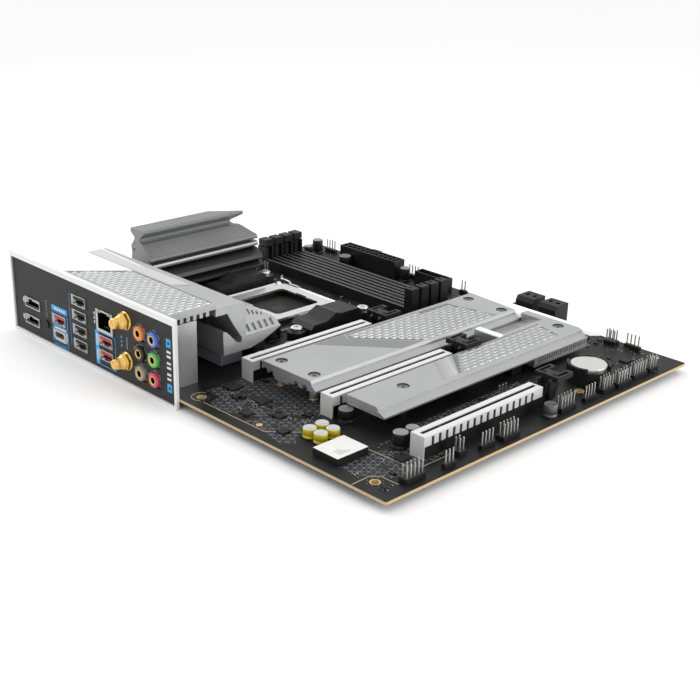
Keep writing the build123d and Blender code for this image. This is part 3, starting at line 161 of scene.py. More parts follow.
def cool(value):
    """A grey with the faintest blue."""
    return rgb(value, value + 0.002, value + 0.005)


def mottled(name, low, high, roughness, metallic=0.0, grain=900.0, relief=0.15,
            edge=0.0002, coat=0.0, rough_spread=0.08, specular=0.5):
    """A moulded or painted finish: fine colour variation, uneven gloss and a small grain."""
    shader = Shader(name, roughness, metallic, coat, specular)
    fine = shader.noise(grain, 4.0)
    broad = shader.noise(grain / 14.0, 2.0)
    mixed = shader.math("MULTIPLY", shader.math("ADD", fine, broad), 0.5)
    shader.colour(shader.blend(shader.spread(mixed, -0.4, 1.4), tone(low), tone(high)))
    shader.roughness(shader.spread(broad, roughness - rough_spread, roughness + rough_spread))
    shader.relief(fine, relief, 0.00006, edge)
    return shader.material


def smooth(name, low, high, roughness, metallic=0.0, **more):
    """A print, a plating or a polished wall: the mottled finish with hardly any grain."""
    return mottled(name, low, high, roughness, metallic, relief=0.05, **more)


def brushed(name, low, high, roughness, stretch, metallic=1.0, edge=0.00015):
    """A brushed or rolled metal whose fine lines run along one axis."""
    shader = Shader(name, roughness, metallic)
    lines = shader.noise(500.0, 5.0, stretch)
    patch = shader.noise(60.0, 2.0)
    shader.colour(shader.blend(lines, tone(low), tone(high)))
    shader.roughness(shader.spread(patch, roughness - 0.07, roughness + 0.08))
    shader.relief(lines, 0.12, 0.00003, edge)
    return shader.material


# Painted shade: a near-black tone, and the height in millimetres below which it replaces the heatsink
# colour.
PAINTED_SHADE_TONE = rgb(0.05)
PAINTED_SHADE_TOP = 24.0


def blasted(name, low, high, roughness=0.42, metallic=0.85, shade_below=None):
    """Bead-blasted anodised aluminium with a cloudy tone, with painted shade below a height if one is
    given.
    """
    shader = Shader(name, roughness, metallic)
    grain = shader.noise(5200.0, 2.0)
    cloud = shader.noise(45.0, 3.0)
    mixed = shader.math("ADD", shader.math("MULTIPLY", grain, 0.35),
                        shader.math("MULTIPLY", cloud, 0.65))
    colour = shader.blend(shader.spread(mixed, -0.2, 1.2), tone(low), tone(high))
    # Painted shade: below the given height the colour turns near-black.
    if shade_below is not None:
        height = shader.node("SeparateXYZ", Vector=shader.place).outputs["Z"]
        colour = shader.blend(shader.math("LESS_THAN", height, shade_below), colour, PAINTED_SHADE_TONE)
    shader.colour(colour)
    shader.roughness(shader.spread(grain, roughness - 0.06, roughness + 0.08))
    shader.relief(grain, 0.12, 0.00002, 0.00025)
    return shader.material


def board_material():
    """Black solder mask with faint traces on the faces and bare laminate edges."""
    shader = Shader("board_black", 0.5, 0.0, 0.0, 0.22)
    parts = shader.node("SeparateXYZ", Vector=shader.place)
    x, y, z = (parts.outputs[axis] for axis in "XYZ")
    weave = shader.noise(2600.0, 2.0)
    mask = shader.blend(shader.noise(90.0, 3.0), rgb(0.003, 0.003, 0.0034), rgb(0.012, 0.012, 0.013))
    across = shader.math("ADD", x, shader.math("MULTIPLY", y, 0.6))
    lanes = shader.math("FRACT", shader.math("MULTIPLY", across, 1.0 / (0.9 * MM)))
    runs = shader.math("MULTIPLY", shader.math("LESS_THAN", lanes, 0.4),
                       shader.math("GREATER_THAN", shader.noise(70.0, 1.0), 0.55))
    mask = shader.blend(runs, mask, rgb(0.019, 0.019, 0.02))
    inside = shader.math("MULTIPLY", shader.math("LESS_THAN", z, PCB_HIGH.z - 0.02 * MM),
                         shader.math("GREATER_THAN", z, PCB_LOW.z + 0.02 * MM))
    layers = shader.noise(900.0, 3.0, (1.0, 1.0, 6.0))
    laminate = shader.blend(layers, rgb(0.40, 0.28, 0.13), rgb(0.62, 0.48, 0.28))
    shader.colour(shader.blend(inside, mask, laminate))
    shader.roughness(shader.spread(weave, 0.42, 0.58))
    shader.relief(weave, 0.05, 0.00002)
    return shader.material


def glow_bar_material():
    """A milky light diffuser, with a faint painted white glow."""
    shader = Shader("milky_diffuser", 0.3, 0.0, 0.3)
    cloud = shader.noise(200.0, 2.0)
    shader.colour(shader.blend(cloud, rgb(0.88, 0.9, 0.92), rgb(0.97, 0.97, 0.98)))
    shader.base.inputs["Subsurface Weight"].default_value = 0.2
    # Painted glow: a faint white emission that brightens the bar.
    shader.base.inputs["Emission Color"].default_value = rgb(1.0)
    shader.base.inputs["Emission Strength"].default_value = 0.25
    return shader.material


MAT = {
    "board": board_material(),
    "heatsink": blasted("heatsink_silver", cool(0.41), cool(0.51), 0.42),
    # Painted shade: the top heatsink turns near-black below a set height over the board.
    "heatsink_mid": blasted("heatsink_mid", cool(0.21), cool(0.28), 0.42,
                            shade_below=PCB_HIGH.z + PAINTED_SHADE_TOP * MM),
    "heatsink_band": blasted("heatsink_band", cool(0.26), cool(0.32), 0.5),
    # Painted highlight: a near-white copy of the heatsink metal, for glare on plain fields and
    # streaks.
    "heatsink_painted_highlight": blasted("heatsink_painted_highlight", 0.84, 0.92, 0.5, 0.25),
    "heatsink_light": blasted("heatsink_light", 0.56, 0.64, 0.5, 0.6),
    "weave": blasted("heatsink_weave", cool(0.38), cool(0.48), 0.36, 0.85),
    # Painted highlight: a lighter copy of the weave metal for the tiles that tilt one way.
    "weave_painted_highlight": blasted("weave_painted_highlight", 0.46, 0.56, 0.38, 0.85),
    # Painted shade: a darker copy of the heatsink metal under the tiles, seen in the gaps between
    # them.
    "weave_ground_painted_shade": blasted("weave_ground_painted_shade", cool(0.20), cool(0.27), 0.5),
    "shield_dark": mottled("shield_charcoal", 0.020, 0.028, 0.55, 0.0, specular=0.25),
    "shield_rim": mottled("rim_silver", rgb(0.70, 0.705, 0.71), 0.80, 0.42, 0.3),
    "steel": brushed("bright_steel", 0.62, 0.78, 0.30, (1.0, 12.0, 12.0)),
    "armour": brushed("armour_steel", 0.70, 0.84, 0.40, (1.0, 14.0, 14.0), 0.5),
    "port_steel": brushed("port_steel", 0.44, 0.60, 0.34, (10.0, 1.0, 1.0), 0.85),
    "black": mottled("black_nylon", 0.004, 0.010, 0.45, relief=0.2, specular=0.28),
    "black_soft": mottled("black_plastic", 0.006, 0.014, 0.5, relief=0.25, specular=0.25),
    # Near-black with little gloss: partly black plastic, partly painted shade inside hollows.
    "black_with_painted_shade": mottled("black_inside_with_painted_shade", 0.001, 0.003, 0.8, relief=0.1, specular=0.08),
    "gold": smooth("gold_plate", rgb(0.78, 0.47, 0.12), rgb(0.92, 0.62, 0.20), 0.28, 0.9),
    "gold_pad": smooth("gold_pad", rgb(0.62, 0.42, 0.14), rgb(0.80, 0.58, 0.24), 0.4, 0.6),
    "gold_line": smooth("gold_line", rgb(0.42, 0.34, 0.18), rgb(0.56, 0.46, 0.27), 0.5, 0.2),
    "lattice": smooth("lattice_print", rgb(0.19, 0.195, 0.205), rgb(0.26, 0.265, 0.28), 0.6,
                      specular=0.2),
    "olive_pad": smooth("olive_mask", rgb(0.020, 0.020, 0.014), rgb(0.034, 0.034, 0.024), 0.6,
                        specular=0.2),
    "tin": mottled("tin_plate", 0.55, 0.72, 0.3, 1.0, relief=0.1),
    "pin": smooth("pin_nickel", rgb(0.42, 0.41, 0.39), rgb(0.58, 0.57, 0.54), 0.34, 0.9),
    "screw_ring": mottled("screw_ring", 0.035, 0.05, 0.5, 0.6),
    "screw_head": mottled("screw_head", 0.30, 0.40, 0.38, 0.8, relief=0.1),
    "can_dark": mottled("can_dark", 0.010, 0.020, 0.38, 0.2, specular=0.35),
    "can_top": brushed("can_top", 0.26, 0.34, 0.42, (3.0, 3.0, 1.0), 0.6),
    "can_grey": mottled("can_grey", 0.10, 0.15, 0.4, 0.5),
    "can_yellow": mottled("can_yellow", rgb(0.50, 0.40, 0.015), rgb(0.64, 0.52, 0.03), 0.35, 0.1),
    "can_yellow_top": brushed("can_yellow_top", rgb(0.52, 0.52, 0.54), rgb(0.62, 0.62, 0.65), 0.45,
                              (3.0, 3.0, 1.0), 0.3),
    "white_print": smooth("white_print", 0.62, 0.74, 0.6),
    "grey_print": smooth("grey_print", 0.20, 0.26, 0.6),
    "blue_print": smooth("blue_print", rgb(0.02, 0.30, 0.66), rgb(0.04, 0.38, 0.78), 0.5),
    # Painted reflection for one inner wall of each socket shell.
    "shell_painted_reflection": smooth("shell_painted_reflection", 0.86, 0.94, 0.4, 0.0),
    "red": mottled("red_tongue", rgb(0.38, 0.006, 0.02), rgb(0.52, 0.012, 0.03), 0.4),
    "white_plastic": mottled("white_plastic", rgb(0.72, 0.72, 0.68), rgb(0.82, 0.82, 0.78), 0.5),
    "ceramic": mottled("ceramic_tan", rgb(0.10, 0.075, 0.05), rgb(0.20, 0.15, 0.10), 0.5),
    "choke": mottled("ferrite", 0.012, 0.024, 0.6, 0.0, relief=0.3, specular=0.25),
    "pad": mottled("thermal_pad", rgb(0.10, 0.11, 0.13), rgb(0.15, 0.16, 0.18), 0.8),
    "cell": brushed("cell_steel", rgb(0.58, 0.585, 0.55), rgb(0.72, 0.72, 0.68), 0.34,
                    (2.0, 9.0, 1.0), 0.9),
    "diffuser": glow_bar_material(),
    "slot_line": smooth("slot_line", 0.20, 0.27, 0.5),
    "contact_dark": mottled("contact_dark", rgb(0.05, 0.045, 0.035), rgb(0.09, 0.08, 0.06), 0.45,
                            0.6),
    "led": mottled("led_green", rgb(0.10, 0.30, 0.14), rgb(0.14, 0.38, 0.18), 0.3),
}
for step in range(4):
    grey = 0.36 + 0.05 * step
    MAT[f"band_step_{step}"] = blasted(f"band_step_{step}", grey, grey + 0.09, 0.45, 0.75)
RING_COLOURS = {
    "orange": rgb(0.72, 0.25, 0.06), "blue": rgb(0.10, 0.19, 0.62), "black": rgb(0.015),
    "green": rgb(0.13, 0.52, 0.13), "grey": rgb(0.34, 0.33, 0.27), "pink": rgb(0.68, 0.07, 0.14),
}
for ring, tint in RING_COLOURS.items():
    darker = tuple(channel * 0.8 for channel in tint[:3]) + (1.0,)
    MAT["ring_" + ring] = mottled("ring_" + ring, darker, tint, 0.36)

# ---- CAD finishes
FINISH_NODES = {
    "board": "pcb", "shield_dark": "io_shield", "shield_rim": "io_shield_rim",
    "port_steel": "display_ports usb_c_stack usb_stack lan_usb_stack wifi_module "
                  "audio_jack_block heatsink_posts",
    "black_soft": "flash_button socket_housing sata_ports chips audio_shield",
    "heatsink": "io_cover rear_vrm_heatsink upper_m2_heatsink lower_m2_heatsink",
    "heatsink_mid": "top_vrm_heatsink", "choke": "chokes", "pad": "thermal_pads",
    "steel": "socket_frame load_plate socket_lever cooler_screws socket_backplate",
    "armour": "pcie_armour", "diffuser": "light_bars", "screw_head": "heatsink_screws",
    "cell": "coin_cell", "pin": "header_pins",
}
NODE_FINISH = {node: finish for finish, nodes in FINISH_NODES.items() for node in nodes.split()}
for name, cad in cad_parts.items():
    cad.data.materials.clear()
    cad.data.materials.append(MAT[NODE_FINISH.get(name, "black")])


# ---- mesh helpers
BOX_FACES = ((3, 2, 1, 0), (4, 5, 6, 7), (0, 1, 5, 4), (1, 2, 6, 5), (2, 3, 7, 6), (3, 0, 4, 7))


class Build:
    """Collects simple solids into one mesh, each with its own finish."""

    def __init__(self, name):
        self.name = name
        self.verts = []
        self.faces = []
        self.slots = []
        self.kinds = []
        self.smooth = []

    def slot(self, finish):
        if finish not in self.kinds:
            self.kinds.append(finish)
        return self.kinds.index(finish)

    def add(self, points, faces, finish, smooth=False):
        start = len(self.verts)
        self.verts.extend(points)
        index = self.slot(finish)
        for face in faces:
            self.faces.append([start + corner for corner in face])
            self.slots.append(index)
            self.smooth.append(smooth)

    def box(self, x0, x1, y0, y1, z0, z1, finish, top=0.0):
        """A box whose upper face may be drawn in by top millimetres on each side."""
        low = [(x0, y0), (x1, y0), (x1, y1), (x0, y1)]
        high = [(x0 + top, y0 + top), (x1 - top, y0 + top), (x1 - top, y1 - top),
                (x0 + top, y1 - top)]
        points = [at(x, y, z0) for x, y in low] + [at(x, y, z1) for x, y in high]
        self.add(points, BOX_FACES, finish)

    def slab(self, outline, z0, z1, finish):
        """A flat plate with any convex or simple outline."""
        count = len(outline)
        points = [at(x, y, z0) for x, y in outline] + [at(x, y, z1) for x, y in outline]
        faces = [tuple(reversed(range(count))), tuple(range(count, 2 * count))]
        for i in range(count):
            j = (i + 1) % count
            faces.append((i, j, count + j, count + i))
        self.add(points, faces, finish)

    def strip(self, path, width, z0, z1, finish):
        """A flat line of one width along a path, with mitred corners."""
        left, right = [], []
        for i, point in enumerate(path):
            here = Vector(point)
            before = Vector(path[max(i - 1, 0)])
            after = Vector(path[min(i + 1, len(path) - 1)])
            into = (here - before).normalized() if i else (after - here).normalized()
            out = (after - here).normalized() if i < len(path) - 1 else into
            mean = (into + out).normalized()
            normal = Vector((-mean.y, mean.x))
            reach = width / 2 / max(0.4, mean.dot(into))
            left.append(here + normal * reach)
            right.append(here - normal * reach)
        for i in range(len(path) - 1):
            outline = [right[i], right[i + 1], left[i + 1], left[i]]
            self.slab([(p.x, p.y) for p in outline], z0, z1, finish)

    def lathe(self, centre, axis, profile, finishes, count=28, smooth=True):
        """A turned solid from (distance, radius) points, with one finish or one per stretch.

        A profile that ends where it began gives a hollow ring.
        """
        if isinstance(finishes, str):
            finishes = [finishes] * (len(profile) - 1)
        axis = Vector(axis).normalized()
        side = axis.orthogonal().normalized()
        other = axis.cross(side)
        start = len(self.verts)
        for reach, radius in profile:
            for i in range(count):
                angle = 2 * math.pi * i / count
                offset = side * math.cos(angle) + other * math.sin(angle)
                self.verts.append(centre + (axis * reach + offset * radius) * MM)
        for ring in range(len(profile) - 1):
            index = self.slot(finishes[ring])
            for i in range(count):
                j = (i + 1) % count
                a, b = start + ring * count, start + (ring + 1) * count
                self.faces.append([a + i, a + j, b + j, b + i])
                self.slots.append(index)
                self.smooth.append(smooth)
        closed = profile[0] == profile[-1]
        for ring, reverse in ((0, True), (len(profile) - 1, False)):
            if profile[ring][1] > 1e-6 and not closed:
                loop = [start + ring * count + i for i in range(count)]
                self.faces.append(list(reversed(loop)) if reverse else loop)
                self.slots.append(self.slot(finishes[0 if reverse else -1]))
                self.smooth.append(False)

    def finish(self, body="board", replaces=()):
        mesh = bpy.data.meshes.new(self.name)
        mesh.from_pydata([tuple(v) for v in self.verts], [], self.faces)
        for kind in self.kinds:
            mesh.materials.append(MAT[kind])
        mesh.polygons.foreach_set("material_index", self.slots)
        mesh.polygons.foreach_set("use_smooth", self.smooth)
        work = bmesh.new()
        work.from_mesh(mesh)
        bmesh.ops.remove_doubles(work, verts=work.verts, dist=1e-7)
        bmesh.ops.recalc_face_normals(work, faces=work.faces)
        work.to_mesh(mesh)
        work.free()
        mesh.update()
        piece = bpy.data.objects.new(self.name, mesh)
        bpy.context.scene.collection.objects.link(piece)
        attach(piece, body)
        if replaces:
            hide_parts(*replaces)
        return piece


def inside(x, y, outline):
    """Whether a point lies within a simple outline."""
    found = False
    for i, (ax, ay) in enumerate(outline):
        bx, by = outline[i - 1]
        if (ay > y) != (by > y) and x < (bx - ax) * (y - ay) / (by - ay) + ax:
            found = not found
    return found


# ---- woven relief on heatsinks
WEAVE_PITCH = 3.0
WEAVE_LOW, WEAVE_HIGH = 0.04, 0.5
WEAVE_COVER = 0.92
WEAVE_TAPER = 0.84


def weave(name, outline, z):
    """A field of small raised tiles that tilt alternately along x and y, as in a basket weave; the
    tiles of one tilt get a lighter copy of the metal as a painted highlight.
    """
    build = Build(name)
    # The ground under the tiles is darker metal: painted shade in the gaps.
    build.slab(outline, z - 0.03, z + 0.02, "weave_ground_painted_shade")
    half = WEAVE_PITCH * WEAVE_COVER / 2
    inset = half * WEAVE_TAPER
    corners = ((-1, -1), (1, -1), (1, 1), (-1, 1))
    right, back = (max(point[axis] for point in outline) for axis in (0, 1))
    column = 0
    x = min(point[0] for point in outline) + half
    while x < right:
        row = 0
        y = min(point[1] for point in outline) + half
        while y < back:
            foot = [(x + sx * half, y + sy * half) for sx, sy in corners]
            if all(inside(px, py, outline) for px, py in foot):
                if (row + column) % 2:
                    rise, finish = (WEAVE_LOW, WEAVE_HIGH, WEAVE_HIGH, WEAVE_LOW), "weave"
                else:
                    # These tiles take the lighter copy of the metal: a painted highlight.
                    rise, finish = (WEAVE_HIGH, WEAVE_HIGH, WEAVE_LOW, WEAVE_LOW), "weave_painted_highlight"
                points = [at(px, py, z - 0.02) for px, py in foot]
                points += [at(x + sx * inset, y + sy * inset, z + up)
                           for (sx, sy), up in zip(corners, rise)]
                build.add(points, BOX_FACES, finish)
            y += WEAVE_PITCH
            row += 1
        x += WEAVE_PITCH
        column += 1
    build.finish()


INLAY = 0.05
COVER = span("io_cover")
UPPER = span("upper_m2_heatsink")
UPPER_EDGE = 96.0
UPPER_TOP = UPPER[5]
LOWER_TOP = 13.0
LOWER_EDGE, LOWER_BACK = 53.6, 73.8
POCKET_X1 = 209.6


def heatsink_relief():
    """Woven fields and the plain bands that border them on the three light heatsinks, with a painted
    highlight on the cover's plain field and a painted highlight streak on the rear heatsink.
    """
    near, far = COVER[2], COVER[3]
    weave("cover_weave", [(COVER[0] + 3.4, near + 1.2), (COVER[1] - 0.8, near + 1.2),
                          (COVER[1] - 0.8, near + 71.6), (COVER[0] + 3.4, near + 95.4)], COVER[5])
    # The cover's plain field is real; its near-white tone is a painted reflection.
    bands = Build("cover_bands")
    bands.slab([(COVER[0] + 1.4, near + 97.6), (COVER[1] - 0.6, near + 72.6),
                (COVER[1] - 0.6, far - 0.8), (COVER[0] + 1.4, far - 0.8)],
               COVER[5] - 0.01, COVER[5] + INLAY, "heatsink_painted_highlight")
    bands.finish()
    rear = span("rear_vrm_heatsink")
    streak = Build("rear_sink_bands")
    streak.slab([(38.6, near + 46.0), (46.8, near + 40.0), (46.8, rear[3] - 0.6),
                 (38.6, rear[3] - 0.6)], rear[5] - 0.4, rear[5] + 0.02, "heatsink_light")
    # Painted highlight: a narrow bright streak along the rear heatsink's top.
    streak.slab([(45.6, near + 84.0), (46.4, near + 84.0), (48.6, rear[3] - 1.0),
                 (47.4, rear[3] - 1.0)], rear[5] - 0.5, rear[5] + 0.06, "heatsink_painted_highlight")
    streak.finish()

    weave("upper_sink_weave", [(100.6, UPPER_EDGE + 30.0), (129.4, UPPER_EDGE + 1.0),
                               (193.0, UPPER_EDGE + 1.0), (186.0, UPPER[3] - 3.4),
                               (104.0, UPPER[3] - 0.8)], UPPER_TOP)
    plain = Build("upper_sink_band")
    plain.slab([(103.0, UPPER[3] - 0.6), (79.6, UPPER[3] - 0.6), (112.6, UPPER_EDGE + 0.6),
                (128.4, UPPER_EDGE + 0.6), (99.6, UPPER_EDGE + 30.0)],
               UPPER_TOP - 0.01, UPPER_TOP + INLAY, "heatsink_band")
    plain.finish()
    weave("lower_sink_weave", [(110.4, LOWER_EDGE + 0.8), (196.0, LOWER_EDGE + 0.8),
                               (POCKET_X1 - 8.0, LOWER_BACK - 0.6), (126.4, LOWER_BACK - 0.6)],
          LOWER_TOP)
    band = Build("lower_sink_band")
    for index in range(4):
        left = 97.4 + 3.0 * index
        band.slab([(left, LOWER_EDGE + 0.6), (left + 2.98, LOWER_EDGE + 0.6),
                   (left + 17.4, LOWER_BACK - 0.4), (left + 14.4, LOWER_BACK - 0.4)],
                  LOWER_TOP - 0.01, LOWER_TOP + INLAY, f"band_step_{index}")
    band.finish()


heatsink_relief()


# ---- rear plate
PLATE = span("io_shield")
PLATE_FACE = PLATE[0]


def face_box(build, y0, y1, z0, z1, finish, proud=0.04, depth=0.02):
    """A thin printed patch on the rear plate's outer face."""
    build.box(PLATE_FACE - proud, PLATE_FACE + depth, y0, y1, z0, z1, finish)


def face_frame(build, y0, y1, z0, z1, line, finish):
    """A printed rectangle drawn as four lines."""
    face_box(build, y0, y1, z0, z0 + line, finish)
    face_box(build, y0, y1, z1 - line, z1, finish)
    face_box(build, y0, y0 + line, z0, z1, finish)
    face_box(build, y1 - line, y1, z0, z1, finish)


# Each port: distance from the upper board edge, height above the board, width, height.
HDMI = (20.0, 4.3, 15.0, 5.6)
DISPLAY = (21.0, 14.9, 16.1, 6.0)
RED_USB = (49.0, 12.6, 13.2, 5.8)
USB_C = (49.0, 3.4, 12.0, 5.4)
BLACK_USB = [(70.4, 3.7 + 8.6 * row, 13.2, 5.8) for row in range(4)]
LAN = (95.2, 24.2, 15.2, 12.4)
LOW_RED = [(95.2, height, 13.2, 5.8) for height in (4.6, 13.0)]
ANTENNAS = [(114.4, 30.6), (114.4, 7.7)]
JACKS = [
    (139.3, 27.2, "blue"), (127.2, 27.2, "orange"), (139.3, 16.0, "green"),
    (127.2, 16.0, "black"), (139.3, 4.8, "pink"), (127.2, 4.8, "grey"),
]


def plate_print():
    """Plain printed marks beside the ports: lines, blocks and dots, with no lettering."""
    build = Build("plate_print")
    y = BOARD_Y - RED_USB[0]
    face_frame(build, y - 8.0, y + 8.0, -3.0, 17.0, 0.7, "blue_print")
    for low, high in ((16.6, 20.2), (7.4, 8.6), (-3.6, -2.0)):
        face_box(build, y - 8.0, y + 8.0, low, high, "blue_print")
    for index in range(5):
        left = y - 5.6 + 2.3 * index
        face_box(build, left, left + 1.4, 17.6, 19.2, "white_print", 0.06)
    y = BOARD_Y - LAN[0]
    face_box(build, y + 7.4, y + 10.4, -2.2, 17.4, "blue_print")
    for low, high in ((0.0, 6.4), (8.6, 15.4)):
        face_box(build, y + 8.4, y + 9.4, low, high, "white_print", 0.06)
    face_frame(build, y - 8.6, y + 7.4, -2.2, 17.4, 0.4, "blue_print")
    face_box(build, y + 9.0, y + 9.3, 19.6, 30.4, "grey_print")
    for height in (21.0, 23.4, 26.0):
        face_box(build, y + 9.8, y + 10.8, height, height + 1.5, "white_print")
    face_box(build, BOARD_Y - 60.4, BOARD_Y - 60.1, 0.6, 31.6, "blue_print")
    face_box(build, BOARD_Y - 61.4, BOARD_Y - 60.1, 31.3, 31.6, "blue_print")
    for middle, height, _, _ in (HDMI, DISPLAY):
        side = BOARD_Y - middle + 9.8
        face_box(build, side, side + 0.9, height - 1.6, height + 1.6, "white_print")
        face_box(build, side + 1.2, side + 1.5, height - 0.8, height + 0.8, "white_print")
    side = BOARD_Y - 35.4
    for index in range(6):
        face_box(build, side - 0.4, side + 0.4, 10.8 + 1.8 * index, 11.9 + 1.8 * index,
                 "grey_print")
    y = BOARD_Y - ANTENNAS[0][0]
    face_box(build, y - 0.9, y - 0.1, 14.4, 21.4, "grey_print")
    for index in range(3):
        face_box(build, y + 4.0, y + 5.0, 14.6 + 2.4 * index, 16.0 + 2.4 * index, "blue_print")
    for middle, height, _ in JACKS:
        centre = at(PLATE_FACE, BOARD_Y - middle, height)
        for start in (20, 75, 130):
            arc_patch(build, centre, 4.75, 5.2, start, start + 40, "grey_print")
        side = BOARD_Y - middle + 5.4
        face_box(build, side, side + 0.7, height - 2.2, height + 2.2, "grey_print")
    y = PLATE[2] + 6.4
    for index in range(5):
        low = 1.6 + 6.2 * index
        if index in (0, 4):
            face_box(build, y - 1.9, y + 1.9, low, low + 4.6, "blue_print")
            face_box(build, y - 0.8, y + 0.8, low + 1.4, low + 3.0, "shield_dark", 0.05)
        else:
            for foot in (low + 0.4, low + 3.0):
                face_box(build, y - 1.7, y + 1.7, foot, foot + 1.3, "white_print")
    build.finish()


def arc_patch(build, centre, inner, outer, start, end, finish, steps=6):
    """A printed arc round a jack."""
    points, faces = [], []
    for i in range(steps + 1):
        angle = math.radians(start + (end - start) * i / steps)
        for radius in (inner, outer):
            for lift in (-0.04, 0.02):
                points.append(centre + Vector((lift, math.cos(angle) * radius,
                                               math.sin(angle) * radius)) * MM)
    for i in range(steps):
        a, b = 4 * i, 4 * i + 4
        faces += [(a, b, b + 2, a + 2), (a + 1, a + 3, b + 3, b + 1), (a, a + 1, b + 1, b),
                  (a + 2, b + 2, b + 3, a + 3)]
    last = 4 * steps
    faces += [(0, 2, 3, 1), (last, last + 1, last + 3, last + 2)]
    build.add(points, faces, finish)


def port_liners():
    """Black insides and contact tongues of the rear sockets; the near-black linings are partly black
    plastic and partly painted shade in the hollows.
    """
    build = Build("port_insides")
    face = span("usb_stack")[0]
    for port in (HDMI, DISPLAY):
        y, z, wide, tall = BOARD_Y - port[0], port[1], port[2] / 2 - 0.5, port[3] / 2 - 0.5
        liner(build, face + 2.4, 9.3, y - wide, y + wide, z - tall, z + tall, 0.25, "black_with_painted_shade")
        contact_row(build, 1.45, 6.0, y - wide + 2.6, y + wide - 2.6, z + 0.7, 9)
        painted_reflection_wall(build, face, y + wide, z - tall + 1.4, z + tall - 0.3)
    for port in [RED_USB] + LOW_RED + BLACK_USB:
        y, z, wide, tall = BOARD_Y - port[0], port[1], port[2] / 2 - 0.4, port[3] / 2 - 0.4
        liner(build, face + 4.0, 9.4, y - wide, y + wide, z - tall, z + tall, 0.2, "black_with_painted_shade")
        painted_reflection_wall(build, face, y + wide, z - tall + 0.2, z + tall - 0.2)
        for side in (-1, 1):
            spring_y = y + side * 3.3
            build.box(face + 0.9, face + 3.6, spring_y - 1.0, spring_y + 1.0, z - tall,
                      z - tall + 0.35, "tin", 0.08)
            build.box(face + 0.9, face + 3.6, spring_y - 1.0, spring_y + 1.0, z + tall - 0.35,
                      z + tall, "tin")
    y, z = BOARD_Y - LAN[0], LAN[1]
    liner(build, face + 0.3, 13.8, y - 5.85, y + 5.85, z - 4.55, z + 4.55, 0.3, "black_with_painted_shade")
    y, z = BOARD_Y - USB_C[0], USB_C[1]
    face_frame(build, y - 7.0, y + 7.0, z - 4.0, z + 4.0, 1.1, "white_print")
    y, z = BOARD_Y - LAN[0], LAN[1]
    for index in range(8):
        left = y - 4.0 + 1.02 * index
        build.box(0.6, 10.0, left, left + 0.4, z - 4.0, z - 3.7, "gold")
    build.finish()
    leds = Build("network_lights")
    leds.box(face - 0.12, face + 0.5, y + 3.7, y + 6.5, z + 4.75, z + 6.0, "led")
    leds.box(face - 0.12, face + 0.5, y - 6.5, y - 3.7, z + 4.75, z + 6.0, "led")
    leds.finish()


def painted_reflection_wall(build, face, y, z0, z1):
    """A painted reflection: a near-white strip on one inner side wall of a socket's shell."""
    build.box(face + 0.15, face + 2.7, y - 0.12, y + 0.02, z0, z1, "shell_painted_reflection")


def liner(build, x0, x1, y0, y1, z0, z1, wall, finish):
    """A thin box lining, open towards the rear."""
    build.box(x0, x1, y0, y0 + wall, z0, z1, finish)
    build.box(x0, x1, y1 - wall, y1, z0, z1, finish)
    build.box(x0, x1, y0 + wall, y1 - wall, z0, z0 + wall, finish)
    build.box(x0, x1, y0 + wall, y1 - wall, z1 - wall, z1, finish)
    build.box(x1 - wall, x1, y0 + wall, y1 - wall, z0 + wall, z1 - wall, finish)


def contact_row(build, x0, x1, y0, y1, z, count):
    """Gold contact strips on a socket's tongue."""
    step = (y1 - y0) / count
    for index in range(count):
        left = y0 + step * (index + 0.25)
        build.box(x0, x1, left, left + step * 0.5, z, z + 0.08, "gold")


def usb_tongues():
    """Red or black tongues of the seven large USB sockets, with four contacts each."""
    build = Build("usb_contact_tongues")
    for port in [RED_USB] + LOW_RED + BLACK_USB:
        finish = "black_soft" if port in BLACK_USB else "red"
        y, z = BOARD_Y - port[0], port[1]
        build.box(-0.9, 9.4, y - 5.6, y + 5.6, z + 0.15, z + 1.95, finish, 0.1)
        if finish == "red":
            build.box(3.2, 9.0, y - 5.7, y + 5.7, z - 2.3, z + 0.15, "red")
        for index in range(4):
            left = y - 4.4 + 2.4 * index
            build.box(0.2, 7.0, left, left + 1.1, z + 0.07, z + 0.16, "gold")
    build.finish(replaces=["usb_tongues"])


def antenna_connectors():
    """Two gold connectors: a hexagon nut on a washer and a barrel that narrows to its mouth."""
    build = Build("antenna_sockets")
    box_x0 = span("antenna_connectors")[0]
    for middle, height in ANTENNAS:
        centre = at(0, BOARD_Y - middle, height)
        face = -PLATE_FACE
        tip = -box_x0
        barrel = [(-0.6, 3.0), (face, 3.0), (face, 5.15), (face + 0.5, 5.15), (face + 0.55, 3.9),
                  (face + 3.2, 4.0), (face + 3.5, 3.85), (face + 3.6, 3.5), (tip - 2.3, 3.05),
                  (tip - 0.5, 2.8), (tip, 2.55), (tip, 2.0), (tip - 0.2, 1.5),
                  (tip - 2.6, 1.45), (tip - 2.6, 0.4), (tip - 0.9, 0.35), (tip - 0.8, 0.0)]
        build.lathe(centre, (-1, 0, 0), barrel, "gold", 36, True)
        nut = [(face + 0.5, 3.0), (face + 0.5, 4.5), (face + 0.8, 4.8), (face + 2.2, 4.8),
               (face + 2.65, 4.3), (face + 2.7, 3.0)]
        build.lathe(centre, (-1, 0, 0), nut, "gold", 6, False)
        # The disc deep in the barrel takes the near-black with painted shade.
        build.lathe(centre, (-1, 0, 0), [(tip - 2.65, 0.45), (tip - 2.2, 0.45), (tip - 2.2, 1.43),
                                         (tip - 2.65, 1.43)], "black_with_painted_shade", 24, False)
    build.finish(replaces=["antenna_connectors"])


JACK_RIBS = 20


